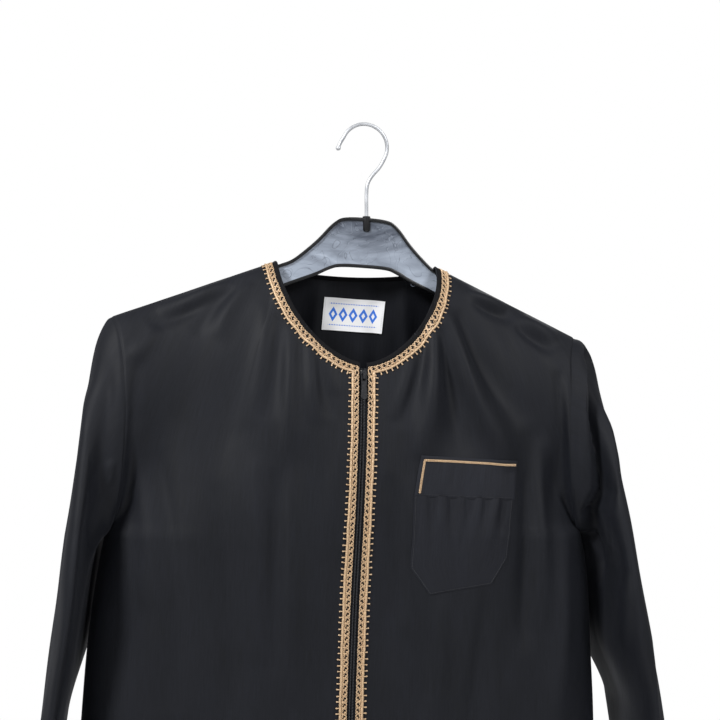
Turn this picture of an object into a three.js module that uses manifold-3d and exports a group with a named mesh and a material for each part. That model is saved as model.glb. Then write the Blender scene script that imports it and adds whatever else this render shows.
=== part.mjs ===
// A long black qamis with a gold-trimmed round neck, a centre front zip and a chest pocket,
// hung on a moulded hanger with a wire hook.
// Units are millimetres. +Z is up, the front faces -Y, and the wearer's left is +X.
// The origin is the bearing point at the top inside of the hook.

import * as THREE from 'three';
import { mergeVertices } from 'three/addons/utils/BufferGeometryUtils.js';
import Module from 'manifold-3d';

const wasm = await Module();
wasm.setup();

// ---------------------------------------------------------------- driving dimensions

const WALL = 1.5;            // cloth wall
const SEAM = 0.3;            // gap between sewn pieces
const HEM_Z = -1540;
const NECK = {
  x: -8.5, z: -138.5, halfWidth: 80.5, frontDrop: 98.8, backDrop: 12.3,
  frontY: -48, backY: 20, frontRound: 0.373, power: 1.176, tilt: 0.022, crowd: 1.4,
};
const RIDGE = { down: 49.5, at: 87, slope: 0.415 };    // shoulder line in the hanger's frame
const CENTRE = { top: -8, shift: -19, from: -139, over: 500 };
const SIDES = {
  left: {
    sign: 1, tipX: 219, underX: 222, underZ: -408, inset: 20,
    quick: 14, bulge: 18.3, bulgeReach: 8, slope: 0.15, gap: 30,
  },
  right: {
    sign: -1, tipX: -250, underX: -254, underZ: -398, inset: 16,
    quick: 8, bulge: 12.5, bulgeReach: 18, slope: 0.135, gap: 25,
  },
};
const ARMHOLE = { frontDepth: 45, backDepth: 38, reachTop: 4, reachLow: 14 };
const CHEST = { z: -403, frontDepth: 68, backDepth: 44, power: 0.87 };
const FLARE = {
  quickOver: 45, hem: 75, power: 1.25, frontSlope: 0.024, backSlope: 0.031, easeOver: 60,
};
const ZIP = { half: 3.5, topZ: -243, length: 400, tapeIn: 1.9, tapeOut: 14, tapeWall: 0.8 };
const ZIP_BOTTOM = ZIP.topZ - ZIP.length;
const CHAIN = { half: 2.5, low: -1, high: 0.7, topZ: -257.5, foot: 4 };
const SLIDER = {
  z: -250.5, width: 6.2, mouth: 5, height: 12, face: -2.7, back: 0.5,
  bridgeWidth: 2, bridgeWall: 0.9, bridgeRise: 3.2, bridgeLength: 7,
};
const PULL = { width: 6.4, length: 23, wall: 1.1, slotWidth: 3, slot: 4.6, bar: 1.1 };
const SLEEVE = {
  drop: 590, tilt: 1.6, frontDepth: 80, backDepth: 74, cuffDepth: 62, deepen: 0.35,
  besideTo: 75, partOver: 110, clear: 1.8, clearOver: 8, tuck: 15, tuckOver: 40,
  seamShare: 0.12,
};
const TRIM = { start: 4, width: 10, wall: 1.2, zipStart: 0.8 };
const BINDING = { width: 3.6, wall: 1.0 };
const POCKET = { x: 93, z: -329.6, roll: 4.6, wall: 1.1 };
// Corners of the pocket in its own frame: both ends of a row, and how much its right end rises.
const POCKET_CORNERS = [
  { down: 0, left: -49.5, right: 50.5, rise: 0 },
  { down: 39.5, left: -54.2, right: 50, rise: 1 },
  { down: 107.8, left: -52.5, right: 45.1, rise: 13 },
  { down: 132.8, left: -31.4, right: 30.6, rise: 12.4 },
];
const STITCH = { width: 3.4, wall: 0.8, inset: 3.6, foot: 36 };
const LABEL = { x: -6.9, z: -188.6, width: 64, height: 33, roll: 4.1, wall: 0.8 };
const HANGER = {
  x: 1.5, z: -92.2, roll: 3.4, reach: 222, rim: 6, web: 2.4, rimWidth: 3, clearance: 3.9,
};
const HOOK = { centreZ: -21.2, radius: 23, wire: 1.8, stemX: 2, tipRadius: 2.5, socket: 12.3 };

// Broad folds of the body: distance from the garment's centre line at both ends, height span,
// width and rise (a negative rise is a trough).
const FOLDS = [
  { face: 'front', side: 1, top: 62, bottom: 70, from: -165, to: -330, width: 16, rise: 3.2 },
  { face: 'front', side: 1, top: 112, bottom: 150, from: -235, to: -340, width: 18, rise: 3.5 },
  { face: 'front', side: 1, top: 20, bottom: 48, from: -370, to: -560, width: 16, rise: -3.5 },
  { face: 'front', side: 1, top: 176, bottom: 168, from: -330, to: -560, width: 24, rise: -4 },
  { face: 'front', side: -1, top: 50, bottom: 58, from: -205, to: -330, width: 14, rise: 3.2 },
  { face: 'front', side: -1, top: 140, bottom: 120, from: -225, to: -380, width: 24, rise: -3.5 },
  { face: 'front', side: -1, top: 66, bottom: 60, from: -340, to: -620, width: 20, rise: 3.2 },
  { face: 'front', side: -1, top: 172, bottom: 180, from: -350, to: -600, width: 24, rise: 3.5 },
  { face: 'back', side: 1, top: 70, bottom: 96, from: -190, to: -420, width: 26, rise: 3.5 },
  { face: 'back', side: 1, top: 160, bottom: 140, from: -300, to: -620, width: 26, rise: -4 },
  { face: 'back', side: -1, top: 84, bottom: 70, from: -200, to: -470, width: 26, rise: 3.5 },
  { face: 'back', side: -1, top: 150, bottom: 166, from: -280, to: -560, width: 24, rise: -4 },
];

// Flutes of the skirt: place round the body in turns from centre front towards the wearer's
// left, width in turns, rise at the hem and the height at which each one starts.
const FLUTES = [
  { turn: 0.055, width: 0.026, rise: 13, from: -560 },
  { turn: 0.135, width: 0.03, rise: 16, from: -520 },
  { turn: 0.215, width: 0.024, rise: 11, from: -640 },
  { turn: 0.315, width: 0.028, rise: 15, from: -600 },
  { turn: 0.405, width: 0.032, rise: 17, from: -540 },
  { turn: 0.5, width: 0.026, rise: 12, from: -660 },
  { turn: 0.585, width: 0.03, rise: 16, from: -560 },
  { turn: 0.675, width: 0.027, rise: 13, from: -620 },
  { turn: 0.785, width: 0.026, rise: 12, from: -580 },
  { turn: 0.865, width: 0.03, rise: 16, from: -540 },
  { turn: 0.945, width: 0.024, rise: 12, from: -640 },
];

// Folds of the sleeves: angle round the sleeve from its outer edge towards the front, place
// down the sleeve as a share of its length, reach, width in degrees and rise.
const SLEEVE_FOLDS = [
  { angle: 62, at: 0.16, reach: 0.16, width: 24, rise: 3.5 },
  { angle: 118, at: 0.36, reach: 0.2, width: 26, rise: -3.5 },
  { angle: 40, at: 0.62, reach: 0.2, width: 26, rise: 3 },
  { angle: 285, at: 0.3, reach: 0.22, width: 26, rise: 3.5 },
  { angle: 238, at: 0.58, reach: 0.2, width: 24, rise: -3 },
];

const COLUMNS = 14;          // columns of each half panel
const NECK_COLUMNS = 6;      // of these, the columns that end at the neck
const UPPER_ROWS = 12;       // rows from the shoulder to the underarm level
const ZIP_FOOT = { seam: -650, over: 8 };    // where the fronts close below the zip
const LOWER_ROWS = [
  -440, -490, -560, ZIP_FOOT.seam + ZIP_FOOT.over, ZIP_FOOT.seam, -760, -900, -1080, -1300, HEM_Z,
];
const SLEEVE_COLUMNS = 18;
const SLEEVE_ROWS = 11;
const SLEEVE_CROWD = 1.35;   // rows of a sleeve lie closer together near its top
const NECK_STEPS = 22;       // steps of a strip round one side of the front neck
const ZIP_STEPS = 22;        // steps of a strip down beside the zip
const NECK_SHARE = NECK_COLUMNS / COLUMNS;

const COLOURS = {
  cloth: 0x28292e, band: 0x2c2d33, gold: 0xcfa77b, tape: 0x17181b, coil: 0x101113,
  metal: 0x2b2d31, label: 0xe6e7ea, plastic: 0x23262c, steel: 0xb4b8bc,
};

// ---------------------------------------------------------------- small helpers

const clamp = (value, low, high) => Math.min(Math.max(value, low), high);
const mix = (a, b, t) => a + (b - a) * t;
const radians = (degrees) => degrees * Math.PI / 180;
const signedPower = (value, power) => Math.sign(value) * Math.abs(value) ** power;

function smooth(t) {
  const held = clamp(t, 0, 1);
  return held * held * (3 - 2 * held);
}

// A window that rises from 0 at both ends of a span to 1 at its middle.
function span(value, from, to) {
  const t = clamp((value - from) / (to - from), 0, 1);
  return Math.sin(Math.PI * t) ** 1.3;
}

// Turns a flat offset (right, up) by a clockwise roll.
function rolled(right, up, degrees) {
  const angle = radians(degrees);
  const x = right * Math.cos(angle) + up * Math.sin(angle);
  const z = up * Math.cos(angle) - right * Math.sin(angle);
  return { x, z };
}

// ---------------------------------------------------------------- lines of the garment

function centreX(z) {
  return CENTRE.top + CENTRE.shift * smooth((CENTRE.from - z) / CENTRE.over);
}

// Height of the shoulder line, which is straight on each side in the hanger's own frame.
function ridgeZ(x) {
  const angle = radians(HANGER.roll);
  const base = RIDGE.down - RIDGE.slope * RIDGE.at;
  const lean = Math.cos(angle) - Math.sign(x - HANGER.x) * RIDGE.slope * Math.sin(angle);
  const reach = (x - HANGER.x + base * Math.sin(angle)) / lean;
  return HANGER.z + rolled(reach, -base - RIDGE.slope * Math.abs(reach), HANGER.roll).z;
}

// Share of its depth that a round shoulder reaches at a share of its height.
function roundShare(down) {
  return Math.sqrt(Math.max(1 - (1 - down) ** 2, 0));
}

// The neck edge: angle 0 is the shoulder, a quarter turn is the centre.
function neckEdge(face, sign, angle, inset = 0) {
  const across = signedPower(Math.cos(angle), NECK.power);
  const down = signedPower(Math.sin(angle), NECK.power);
  const x = NECK.halfWidth * (face === 'front' ? across : Math.cos(angle));
  const drop = face === 'front' ? NECK.frontDrop * down : NECK.backDrop * Math.sin(angle);
  const depth = face === 'front'
    ? NECK.frontY * roundShare(NECK.frontRound * down) / roundShare(NECK.frontRound)
    : NECK.backY * Math.sin(angle);
  const out = Math.cos(angle);
  const flatX = NECK.x + sign * (x + inset * out);
  const shoulderX = NECK.x + sign * NECK.halfWidth;
  const slope = (ridgeZ(shoulderX + sign * inset) - ridgeZ(shoulderX)) * out * out;
  const top = NECK.z - NECK.tilt * sign * NECK.halfWidth * out;
  return new THREE.Vector3(flatX, depth, top + slope - drop - inset * Math.sin(angle));
}

function armholeTop(side) {
  return new THREE.Vector3(side.tipX, 0, ridgeZ(side.tipX));
}

// Armhole seam: share 0 is the shoulder tip, 1 is the underarm.
function armhole(face, side, share) {
  const top = armholeTop(side);
  const swell = 2 * Math.sqrt(Math.max(share * (1 - share), 0));
  const depth = face === 'front' ? -ARMHOLE.frontDepth : ARMHOLE.backDepth;
  const x = mix(top.x, side.underX, share) - side.sign * side.inset * swell;
  return new THREE.Vector3(x, depth * swell, mix(top.z, side.underZ, share));
}

function fluteLift(turn, z) {
  let lift = 0;
  for (const flute of FLUTES) {
    const away = Math.abs(turn - flute.turn);
    const near = Math.min(away, 1 - away) / flute.width;
    const grow = smooth((flute.from - z) / (flute.from - HEM_Z)) ** 0.8;
    lift += flute.rise * grow * Math.exp(-near * near);
  }
  return lift;
}

function foldLift(face, sign, offset, z) {
  let lift = 0;
  for (const fold of FOLDS) {
    if (fold.face === face && fold.side === sign) {
      const t = clamp((z - fold.from) / (fold.to - fold.from), 0, 1);
      const away = (offset - mix(fold.top, fold.bottom, t)) / fold.width;
      lift += fold.rise * span(z, fold.from, fold.to) * Math.exp(-away * away);
    }
  }
  return lift;
}

function frontEdge(z) {
  return mix(SEAM / 2, ZIP.half, smooth((z - ZIP_FOOT.seam) / ZIP_FOOT.over));
}

// Level section of the body below the underarm, one quarter at a time:
// share 0 is the centre line and 1 the side seam.
function ring(face, side, share, drop) {
  const angle = share * Math.PI / 2;
  const front = face === 'front';
  const z = mix(CHEST.z, HEM_Z, drop);
  const turn = front ? side.sign * share / 4 : side.sign * (0.5 - share / 4);
  const level = (side.underZ - CHEST.z) * Math.sin(angle);
  const below = CHEST.z - z;
  const width = (side.underX - centreX(CHEST.z)) * side.sign
    + FLARE.hem * drop ** FLARE.power
    + side.quick * (1 - Math.exp(-below / FLARE.quickOver));
  const eased = below - FLARE.easeOver * (1 - Math.exp(-below / FLARE.easeOver));
  const depth = front
    ? -(CHEST.frontDepth + FLARE.frontSlope * eased)
    : CHEST.backDepth + FLARE.backSlope * eased;
  const edge = front ? frontEdge(z) : 0;
  const across = signedPower(Math.sin(angle), CHEST.power);
  const lift = fluteLift((turn + 1) % 1, z);
  const x = edge + (width - edge) * across + lift * Math.sin(angle);
  const y = depth * signedPower(Math.cos(angle), CHEST.power)
    + Math.sign(depth) * lift * Math.cos(angle);
  return new THREE.Vector3(centreX(z) + side.sign * x, y, z + level * (1 - drop));
}

// Angle round the neck of a place along a panel's top edge, and the other way round.
const neckAngle = (share) => (1 - share / NECK_SHARE) ** NECK.crowd * Math.PI / 2;
const neckShare = (angle) => NECK_SHARE * (1 - (angle * 2 / Math.PI) ** (1 / NECK.crowd));

// Top edge of a panel: from the centre round the neck, then out along the shoulder.
function topEdge(face, side, share) {
  if (share <= NECK_SHARE) {
    const point = neckEdge(face, side.sign, neckAngle(share));
    if (face === 'front') {
      const centre = centreX(point.z);
      const near = side.sign * (point.x - centre);
      point.x = centre + side.sign * Math.max(near, ZIP.half);
    }
    return point;
  }
  const t = (share - NECK_SHARE) / (1 - NECK_SHARE);
  const neck = neckEdge(face, side.sign, 0);
  const x = mix(neck.x, side.tipX, t);
  const settle = mix(neck.z - ridgeZ(neck.x), 0, smooth(t * 3));
  return new THREE.Vector3(x, 0, ridgeZ(x) + settle);
}

// Depth of a panel between its top edge and the underarm level: every column follows the same
// round shoulder, and one that starts at the neck starts part of the way down it.
function roundedDepth(topY, lowY, down) {
  const ratio = Math.min(Math.abs(topY / (lowY || 1)), 0.95);
  const start = Math.abs(topY) < 0.01 ? 0 : 1 - Math.sqrt(1 - ratio * ratio);
  const from = roundShare(start);
  const share = (roundShare(mix(start, 1, down)) - from) / (1 - from);
  return mix(topY, lowY, share);
}

// Centre edge of a panel, level by level.
function centreEdge(face, side, share) {
  const top = topEdge(face, side, 0);
  const z = mix(top.z, ring(face, side, 0, 0).z, share);
  const edge = face === 'front' ? side.sign * ZIP.half : 0;
  const settle = top.x - centreX(top.z) - edge;
  return { x: centreX(z) + edge + settle * (1 - share), z };
}

// Point of a half panel. across: 0 centre to 1 side. down: 0 top, 1 underarm level, 2 hem.
function panelPoint(face, side, across, down) {
  let point;
  if (down > 1) {
    point = ring(face, side, across, down - 1);
  } else {
    const top = topEdge(face, side, across);
    const low = ring(face, side, across, 0);
    const centre = centreEdge(face, side, down);
    const arm = armhole(face, side, down);
    const corners = [
      topEdge(face, side, 0), ring(face, side, 0, 0), armhole(face, side, 0), armhole(face, side, 1),
    ];
    point = new THREE.Vector3();
    for (const axis of ['x', 'z']) {
      const [centreTop, centreLow, armTop, armLow] = corners.map((corner) => corner[axis]);
      point[axis] = mix(top[axis], low[axis], down)
        + (1 - across) * (centre[axis] - mix(centreTop, centreLow, down))
        + across * (arm[axis] - mix(armTop, armLow, down));
    }
    const reach = mix(ARMHOLE.reachTop, ARMHOLE.reachLow, down ** 3);
    point.y = roundedDepth(top.y, low.y, down) + across ** reach * arm.y;
  }
  const offset = side.sign * (point.x - centreX(point.z));
  const outward = face === 'front' ? -1 : 1;
  point.y += outward * foldLift(face, side.sign, offset, point.z) * Math.min(1, down * 4);
  return point;
}

// ---------------------------------------------------------------- shells from grids

function gridNormals(points, closed) {
  const count = points.length;
  return points.map((column, i) => column.map((point, j) => {
    const before = closed ? points[(i + count - 1) % count][j] : points[Math.max(i - 1, 0)][j];
    const after = closed ? points[(i + 1) % count][j] : points[Math.min(i + 1, count - 1)][j];
    const above = column[Math.max(j - 1, 0)];
    const below = column[Math.min(j + 1, column.length - 1)];
    const along = after.clone().sub(before);
    const down = below.clone().sub(above);
    return along.cross(down).normalize();
  }));
}

function signedVolume(positions, triangles) {
  let volume = 0;
  const corner = [new THREE.Vector3(), new THREE.Vector3(), new THREE.Vector3()];
  for (let t = 0; t < triangles.length; t += 3) {
    corner.forEach((vertex, k) => vertex.fromArray(positions, 3 * triangles[t + k]));
    volume += corner[0].dot(corner[1].clone().cross(corner[2]));
  }
  return volume / 6;
}

function closedGeometry(positions, triangles) {
  const facing = signedVolume(positions, triangles) > 0 ? triangles : triangles.slice().reverse();
  const geometry = new THREE.BufferGeometry();
  geometry.setAttribute('position', new THREE.Float32BufferAttribute(positions, 3));
  geometry.setIndex(facing);
  return geometry;
}

// Wall between two offsets from a grid of points, with its rims closed.
function shell(points, normals, low, high, closed = false) {
  const columns = points.length;
  const rows = points[0].length;
  const positions = [];
  for (const offset of [high, low]) {
    points.forEach((column, i) => column.forEach((point, j) => {
      const moved = point.clone().addScaledVector(normals[i][j], offset);
      positions.push(moved.x, moved.y, moved.z);
    }));
  }
  const inner = columns * rows;
  const index = (i, j) => (i % columns) * rows + j;
  const triangles = [];
  const quad = (a, b, c, d) => triangles.push(a, b, c, a, c, d);
  const spans = closed ? columns : columns - 1;
  for (let i = 0; i < spans; i += 1) {
    for (let j = 0; j < rows - 1; j += 1) {
      const [a, b, c, d] = [index(i, j), index(i, j + 1), index(i + 1, j + 1), index(i + 1, j)];
      quad(a, b, c, d);
      quad(d + inner, c + inner, b + inner, a + inner);
    }
    const [a, b] = [index(i, 0), index(i + 1, 0)];
    quad(a, b, b + inner, a + inner);
    const [c, d] = [index(i, rows - 1), index(i + 1, rows - 1)];
    quad(d, c, c + inner, d + inner);
  }
  if (!closed) {
    for (let j = 0; j < rows - 1; j += 1) {
      const [a, b] = [index(0, j), index(0, j + 1)];
      quad(b, a, a + inner, b + inner);
      const [c, d] = [index(columns - 1, j), index(columns - 1, j + 1)];
      quad(c, d, d + inner, c + inner);
    }
  }
  return closedGeometry(positions, triangles);
}

// ---------------------------------------------------------------- solids by boolean

function toSolid(geometry) {
  const bare = geometry.clone();
  bare.deleteAttribute('normal');
  bare.deleteAttribute('uv');
  const merged = mergeVertices(bare, 1e-4);
  return new wasm.Manifold(new wasm.Mesh({
    numProp: 3,
    vertProperties: Float32Array.from(merged.attributes.position.array),
    triVerts: Uint32Array.from(merged.index.array),
  }));
}

function fromSolid(solid) {
  const mesh = solid.getMesh();
  const geometry = new THREE.BufferGeometry();
  geometry.setAttribute('position', new THREE.BufferAttribute(mesh.vertProperties, 3));
  geometry.setIndex(new THREE.BufferAttribute(mesh.triVerts, 1));
  return geometry;
}

// ---------------------------------------------------------------- body panels

function downShares() {
  const shares = [];
  for (let j = 0; j <= UPPER_ROWS; j += 1) {
    shares.push((1 - Math.cos(Math.PI * j / UPPER_ROWS)) / 2);
  }
  for (const z of LOWER_ROWS) {
    shares.push(1 + (CHEST.z - z) / (CHEST.z - HEM_Z));
  }
  return shares;
}

const DOWN = downShares();

// Grid of a half panel, with the normals at its seams turned to lie in the seam's own plane.
function halfPanel(face, side) {
  const points = [];
  for (let i = 0; i <= COLUMNS; i += 1) {
    points.push(DOWN.map((down) => panelPoint(face, side, i / COLUMNS, down)));
  }
  const outward = face === 'front' ? -1 : 1;
  for (let i = NECK_COLUMNS; i <= COLUMNS; i += 1) {
    points[i][0].y += outward * SEAM / 2;
  }
  for (let j = UPPER_ROWS; j < DOWN.length; j += 1) {
    points[COLUMNS][j].y += outward * SEAM / 2;
  }
  const normals = gridNormals(points, false);
  const flip = side.sign * outward;
  normals.forEach((column, i) => column.forEach((normal, j) => {
    normal.multiplyScalar(flip);
    const shoulder = j === 0 && i >= NECK_COLUMNS;
    const sideSeam = i === COLUMNS && j >= UPPER_ROWS;
    if (shoulder || sideSeam) {
      normal.y = 0;
    }
    if (i === 0) {
      normal.x = 0;
    }
    normal.normalize();
  }));
  return { face, side, points, normals };
}

// The flat place (x, z) on a half panel's facets, as a point and a normal, found by Newton
// steps from a first guess.
function onPanel(panel, x, z, guess = {}) {
  const { face, side } = panel;
  const flat = (x - centreX(z)) / (side.underX - centreX(CHEST.z));
  let across = guess.across ?? clamp(flat, 0.02, 0.98);
  let down = guess.down ?? clamp((NECK.z - z) / (NECK.z - CHEST.z), 0.02, 1.9);
  const step = 1e-3;
  const most = 0.06;
  for (let pass = 0; pass < 30; pass += 1) {
    const here = panelPoint(face, side, across, down);
    const wide = panelPoint(face, side, across + step, down);
    const deep = panelPoint(face, side, across, down + step);
    const [a, b] = [(wide.x - here.x) / step, (deep.x - here.x) / step];
    const [c, d] = [(wide.z - here.z) / step, (deep.z - here.z) / step];
    const det = a * d - b * c;
    const [ex, ez] = [x - here.x, z - here.z];
    across = clamp(across + clamp((d * ex - b * ez) / det, -most, most), 0, 0.999);
    down = clamp(down + clamp((a * ez - c * ex) / det, -most, most), 0, 1.998);
  }
  return onFacet(panel, across, down);
}

// Blend of the three corners of the facet that holds a place of the grid.
function onFacet(panel, across, down) {
  const { points, normals } = panel;
  const i = clamp(Math.floor(across * COLUMNS), 0, COLUMNS - 1);
  let j = 0;
  while (j < DOWN.length - 2 && DOWN[j + 1] <= down) {
    j += 1;
  }
  const s = across * COLUMNS - i;
  const t = (down - DOWN[j]) / (DOWN[j + 1] - DOWN[j]);
  const weights = s > t
    ? [[i, j, 1 - s], [i + 1, j, s - t], [i + 1, j + 1, t]]
    : [[i, j, 1 - t], [i, j + 1, t - s], [i + 1, j + 1, s]];
  const point = new THREE.Vector3();
  const normal = new THREE.Vector3();
  for (const [column, row, weight] of weights) {
    point.addScaledVector(points[column][row], weight);
    normal.addScaledVector(normals[column][row], weight);
  }
  return { point, normal };
}

const fronts = { left: halfPanel('front', SIDES.left), right: halfPanel('front', SIDES.right) };
const backs = { left: halfPanel('back', SIDES.left), right: halfPanel('back', SIDES.right) };

function panelShell(panel) {
  return shell(panel.points, panel.normals, -WALL / 2, WALL / 2);
}

// The back is one piece: both halves share the centre column.
function backShell() {
  const right = backs.right.points.slice(1).reverse();
  const rightNormals = backs.right.normals.slice(1).reverse();
  const points = [...right, ...backs.left.points];
  const normals = [...rightNormals, ...backs.left.normals];
  return shell(points, normals, -WALL / 2, WALL / 2);
}

// ---------------------------------------------------------------- sleeves

function sleeveOut(side, drop) {
  return side.bulge * (1 - Math.exp(-drop / side.bulgeReach)) + side.slope * drop;
}

// Inner line of a sleeve: close along the body's side, then hanging free of it.
function sleeveInnerX(side, below, innerDrop) {
  const beside = ring('front', side, 1, below / (side.underZ - HEM_Z)).x;
  const clear = SLEEVE.clear * (1 - Math.exp(-below / SLEEVE.clearOver));
  const free = armholeTop(side).x + side.sign * (sleeveOut(side, innerDrop) - side.gap);
  return mix(beside + side.sign * clear, free, sleeveParts(below));
}

const sleeveParts = (below) => smooth((below - SLEEVE.besideTo) / SLEEVE.partOver);

function sleevePoint(side, angle, share) {
  const top = armholeTop(side);
  const rise = top.z - side.underZ;
  const drop = SLEEVE.drop * share;
  const outer = new THREE.Vector3(top.x + side.sign * sleeveOut(side, drop), 0, top.z - drop);
  const innerDrop = drop + rise * (1 - share) ** SLEEVE.tilt;
  const below = innerDrop - rise;
  const innerX = sleeveInnerX(side, below, innerDrop);
  const inner = new THREE.Vector3(innerX, 0, top.z - innerDrop);
  const front = Math.sin(angle) > 0;
  const start = front ? ARMHOLE.frontDepth : ARMHOLE.backDepth;
  const full = front ? SLEEVE.frontDepth : SLEEVE.backDepth;
  const deep = mix(start, full, smooth(share / SLEEVE.deepen));
  const depth = mix(deep, SLEEVE.cuffDepth, smooth((share - SLEEVE.deepen) / (1 - SLEEVE.deepen)));
  const middle = outer.clone().add(inner).multiplyScalar(0.5);
  const half = outer.clone().sub(inner).multiplyScalar(0.5);
  const point = middle.addScaledVector(half, Math.cos(angle));
  point.y = -depth * Math.sin(angle);
  const fade = Math.max(1 - share / SLEEVE.seamShare, 0);
  point.x -= side.sign * side.inset * Math.abs(Math.sin(angle)) * fade;
  const low = (1 - Math.cos(angle)) / 2;
  point.x += side.sign * (2 * SEAM + (WALL + 5 * SEAM) * low);
  if (!front && Math.cos(angle) < 0) {
    const tucked = smooth(below / SLEEVE.tuckOver) * (1 - sleeveParts(below));
    point.x -= side.sign * SLEEVE.tuck * tucked * Math.sin(2 * angle);
  }
  return point;
}

function sleeveLift(angle, share) {
  let lift = 0;
  for (const fold of SLEEVE_FOLDS) {
    const turn = Math.abs(((angle * 180 / Math.PI - fold.angle + 540) % 360) - 180) / fold.width;
    const away = (share - fold.at) / fold.reach;
    lift += fold.rise * Math.exp(-turn * turn - 4 * away * away) * smooth(share * 12);
  }
  return lift;
}

function sleeveShell(side) {
  const points = [];
  for (let i = 0; i < SLEEVE_COLUMNS; i += 1) {
    const angle = 2 * Math.PI * i / SLEEVE_COLUMNS;
    const column = [];
    for (let j = 0; j <= SLEEVE_ROWS; j += 1) {
      column.push(sleevePoint(side, angle, (j / SLEEVE_ROWS) ** SLEEVE_CROWD));
    }
    points.push(column);
  }
  const normals = gridNormals(points, true);
  normals.forEach((column) => column.forEach((normal) => normal.multiplyScalar(side.sign)));
  const lifted = points.map((column, i) => column.map((point, j) => {
    const angle = 2 * Math.PI * i / SLEEVE_COLUMNS;
    const lift = sleeveLift(angle, (j / SLEEVE_ROWS) ** SLEEVE_CROWD);
    return point.clone().addScaledVector(normals[i][j], lift);
  }));
  return shell(lifted, normals, -WALL / 2, WALL / 2, true);
}

// ---------------------------------------------------------------- strips that lie on panels

const ON = WALL / 2 + 0.7;   // where a piece on the outside of a panel starts

// Closed strip between two rails of panel places.
function strip(railA, railB, low, high) {
  const rails = [railA, railB];
  const points = rails.map((rail) => rail.map((place) => place.point));
  const normals = rails.map((rail) => rail.map((place) => place.normal));
  return shell(points, normals, low, high);
}

// Rail along the neck edge of a half panel, from the shoulder towards the centre, at a
// distance from the edge. keep holds the rail off the centre line.
function neckRail(panel, inset, count, keep = 0) {
  const { face, side } = panel;
  const rail = [];
  for (let k = 0; k <= count; k += 1) {
    const angle = (k / count) ** 1.25 * Math.PI / 2;
    const flat = neckEdge(face, side.sign, angle, inset);
    const centre = centreX(flat.z);
    const reach = side.sign * (flat.x - centre);
    const guess = { across: neckShare(angle), down: 0.02 };
    rail.push(onPanel(panel, centre + side.sign * Math.max(reach, keep), flat.z, guess));
  }
  return rail;
}

// Rail down beside the zip, from a height down to the zip's end.
function zipRail(panel, reach, topZ, bottomZ) {
  const { side } = panel;
  const rail = [];
  for (let k = 0; k <= ZIP_STEPS; k += 1) {
    const z = mix(topZ, bottomZ, k / ZIP_STEPS);
    rail.push(onPanel(panel, centreX(z) + side.sign * (ZIP.half + reach), z));
  }
  return rail;
}

// Braid of one front: round the neck, mitred at the zip, then down to the zip's end.
function frontTrim(panel) {
  const rails = [TRIM.start, TRIM.start + TRIM.width].map((inset, k) => {
    const reach = TRIM.zipStart + k * TRIM.width;
    const neck = neckRail(panel, inset, NECK_STEPS, ZIP.half + reach);
    const cornerZ = Math.min(...neck.map((place) => place.point.z));
    const zip = zipRail(panel, reach, cornerZ - 8, ZIP_BOTTOM - 2);
    return [...neck, ...zip];
  });
  return strip(rails[0], rails[1], ON, ON + TRIM.wall);
}

function backTrim() {
  const rails = [TRIM.start, TRIM.start + TRIM.width].map((inset) => {
    const right = neckRail(backs.right, inset, NECK_STEPS);
    const left = neckRail(backs.left, inset, NECK_STEPS).reverse();
    return [...right, ...left.slice(1)];
  });
  return strip(rails[0], rails[1], ON, ON + TRIM.wall);
}

// Binding of the whole neck edge, from the zip round the back to the zip again.
function neckBinding() {
  const keep = ZIP.half + 0.1;
  const rails = [0, BINDING.width].map((inset) => {
    const frontRight = neckRail(fronts.right, inset, NECK_STEPS, keep).reverse();
    const backRight = neckRail(backs.right, inset, NECK_STEPS);
    const backLeft = neckRail(backs.left, inset, NECK_STEPS).reverse();
    const frontLeft = neckRail(fronts.left, inset, NECK_STEPS, keep);
    return [...frontRight, ...backRight, ...backLeft.slice(1), ...frontLeft];
  });
  return strip(rails[0], rails[1], ON, ON + BINDING.wall);
}

// Patch on a panel from a flat frame of its own: rows of left and right ends, measured right
// and down from the frame's middle top.
function patch(place, frame, rows, columns, low, high) {
  const points = [];
  const normals = [];
  for (let i = 0; i <= columns; i += 1) {
    const places = rows.map(({ left, right, down, rise = 0 }) => {
      const up = rise * i / columns - down;
      const flat = rolled(mix(left, right, i / columns), up, frame.roll);
      return place(frame.x + flat.x, frame.z + flat.z);
    });
    points.push(places.map((each) => each.point));
    normals.push(places.map((each) => each.normal));
  }
  return shell(points, normals, low, high);
}

// ---------------------------------------------------------------- pocket and label

const onFrontLeft = (x, z) => onPanel(fronts.left, x, z);

function onBack(x, z) {
  return onPanel(x > centreX(z) ? backs.left : backs.right, x, z);
}

const [POCKET_TOP, POCKET_BAND, POCKET_SIDE_END, POCKET_FOOT] = POCKET_CORNERS;

function pocketRow(down) {
  const next = POCKET_CORNERS.findIndex((corner) => corner.down >= down - 1e-6);
  const low = POCKET_CORNERS[Math.max(next, 1)];
  const high = POCKET_CORNERS[Math.max(next, 1) - 1];
  const t = (down - high.down) / (low.down - high.down);
  const blend = (key) => mix(high[key], low[key], t);
  return { down, left: blend('left'), right: blend('right'), rise: blend('rise') };
}

function evenRows(from, to, count) {
  const rows = [];
  for (let k = 0; k <= count; k += 1) {
    rows.push(pocketRow(mix(from, to, k / count)));
  }
  return rows;
}

function pocketBody() {
  const sides = evenRows(POCKET_BAND.down + SEAM, POCKET_SIDE_END.down, 5);
  const foot = evenRows(POCKET_SIDE_END.down, POCKET_FOOT.down, 2).slice(1);
  return patch(onFrontLeft, POCKET, [...sides, ...foot], 8, ON, ON + POCKET.wall);
}

function pocketBand() {
  return patch(onFrontLeft, POCKET, evenRows(0, POCKET_BAND.down, 4), 8, ON, ON + POCKET.wall);
}

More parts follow.
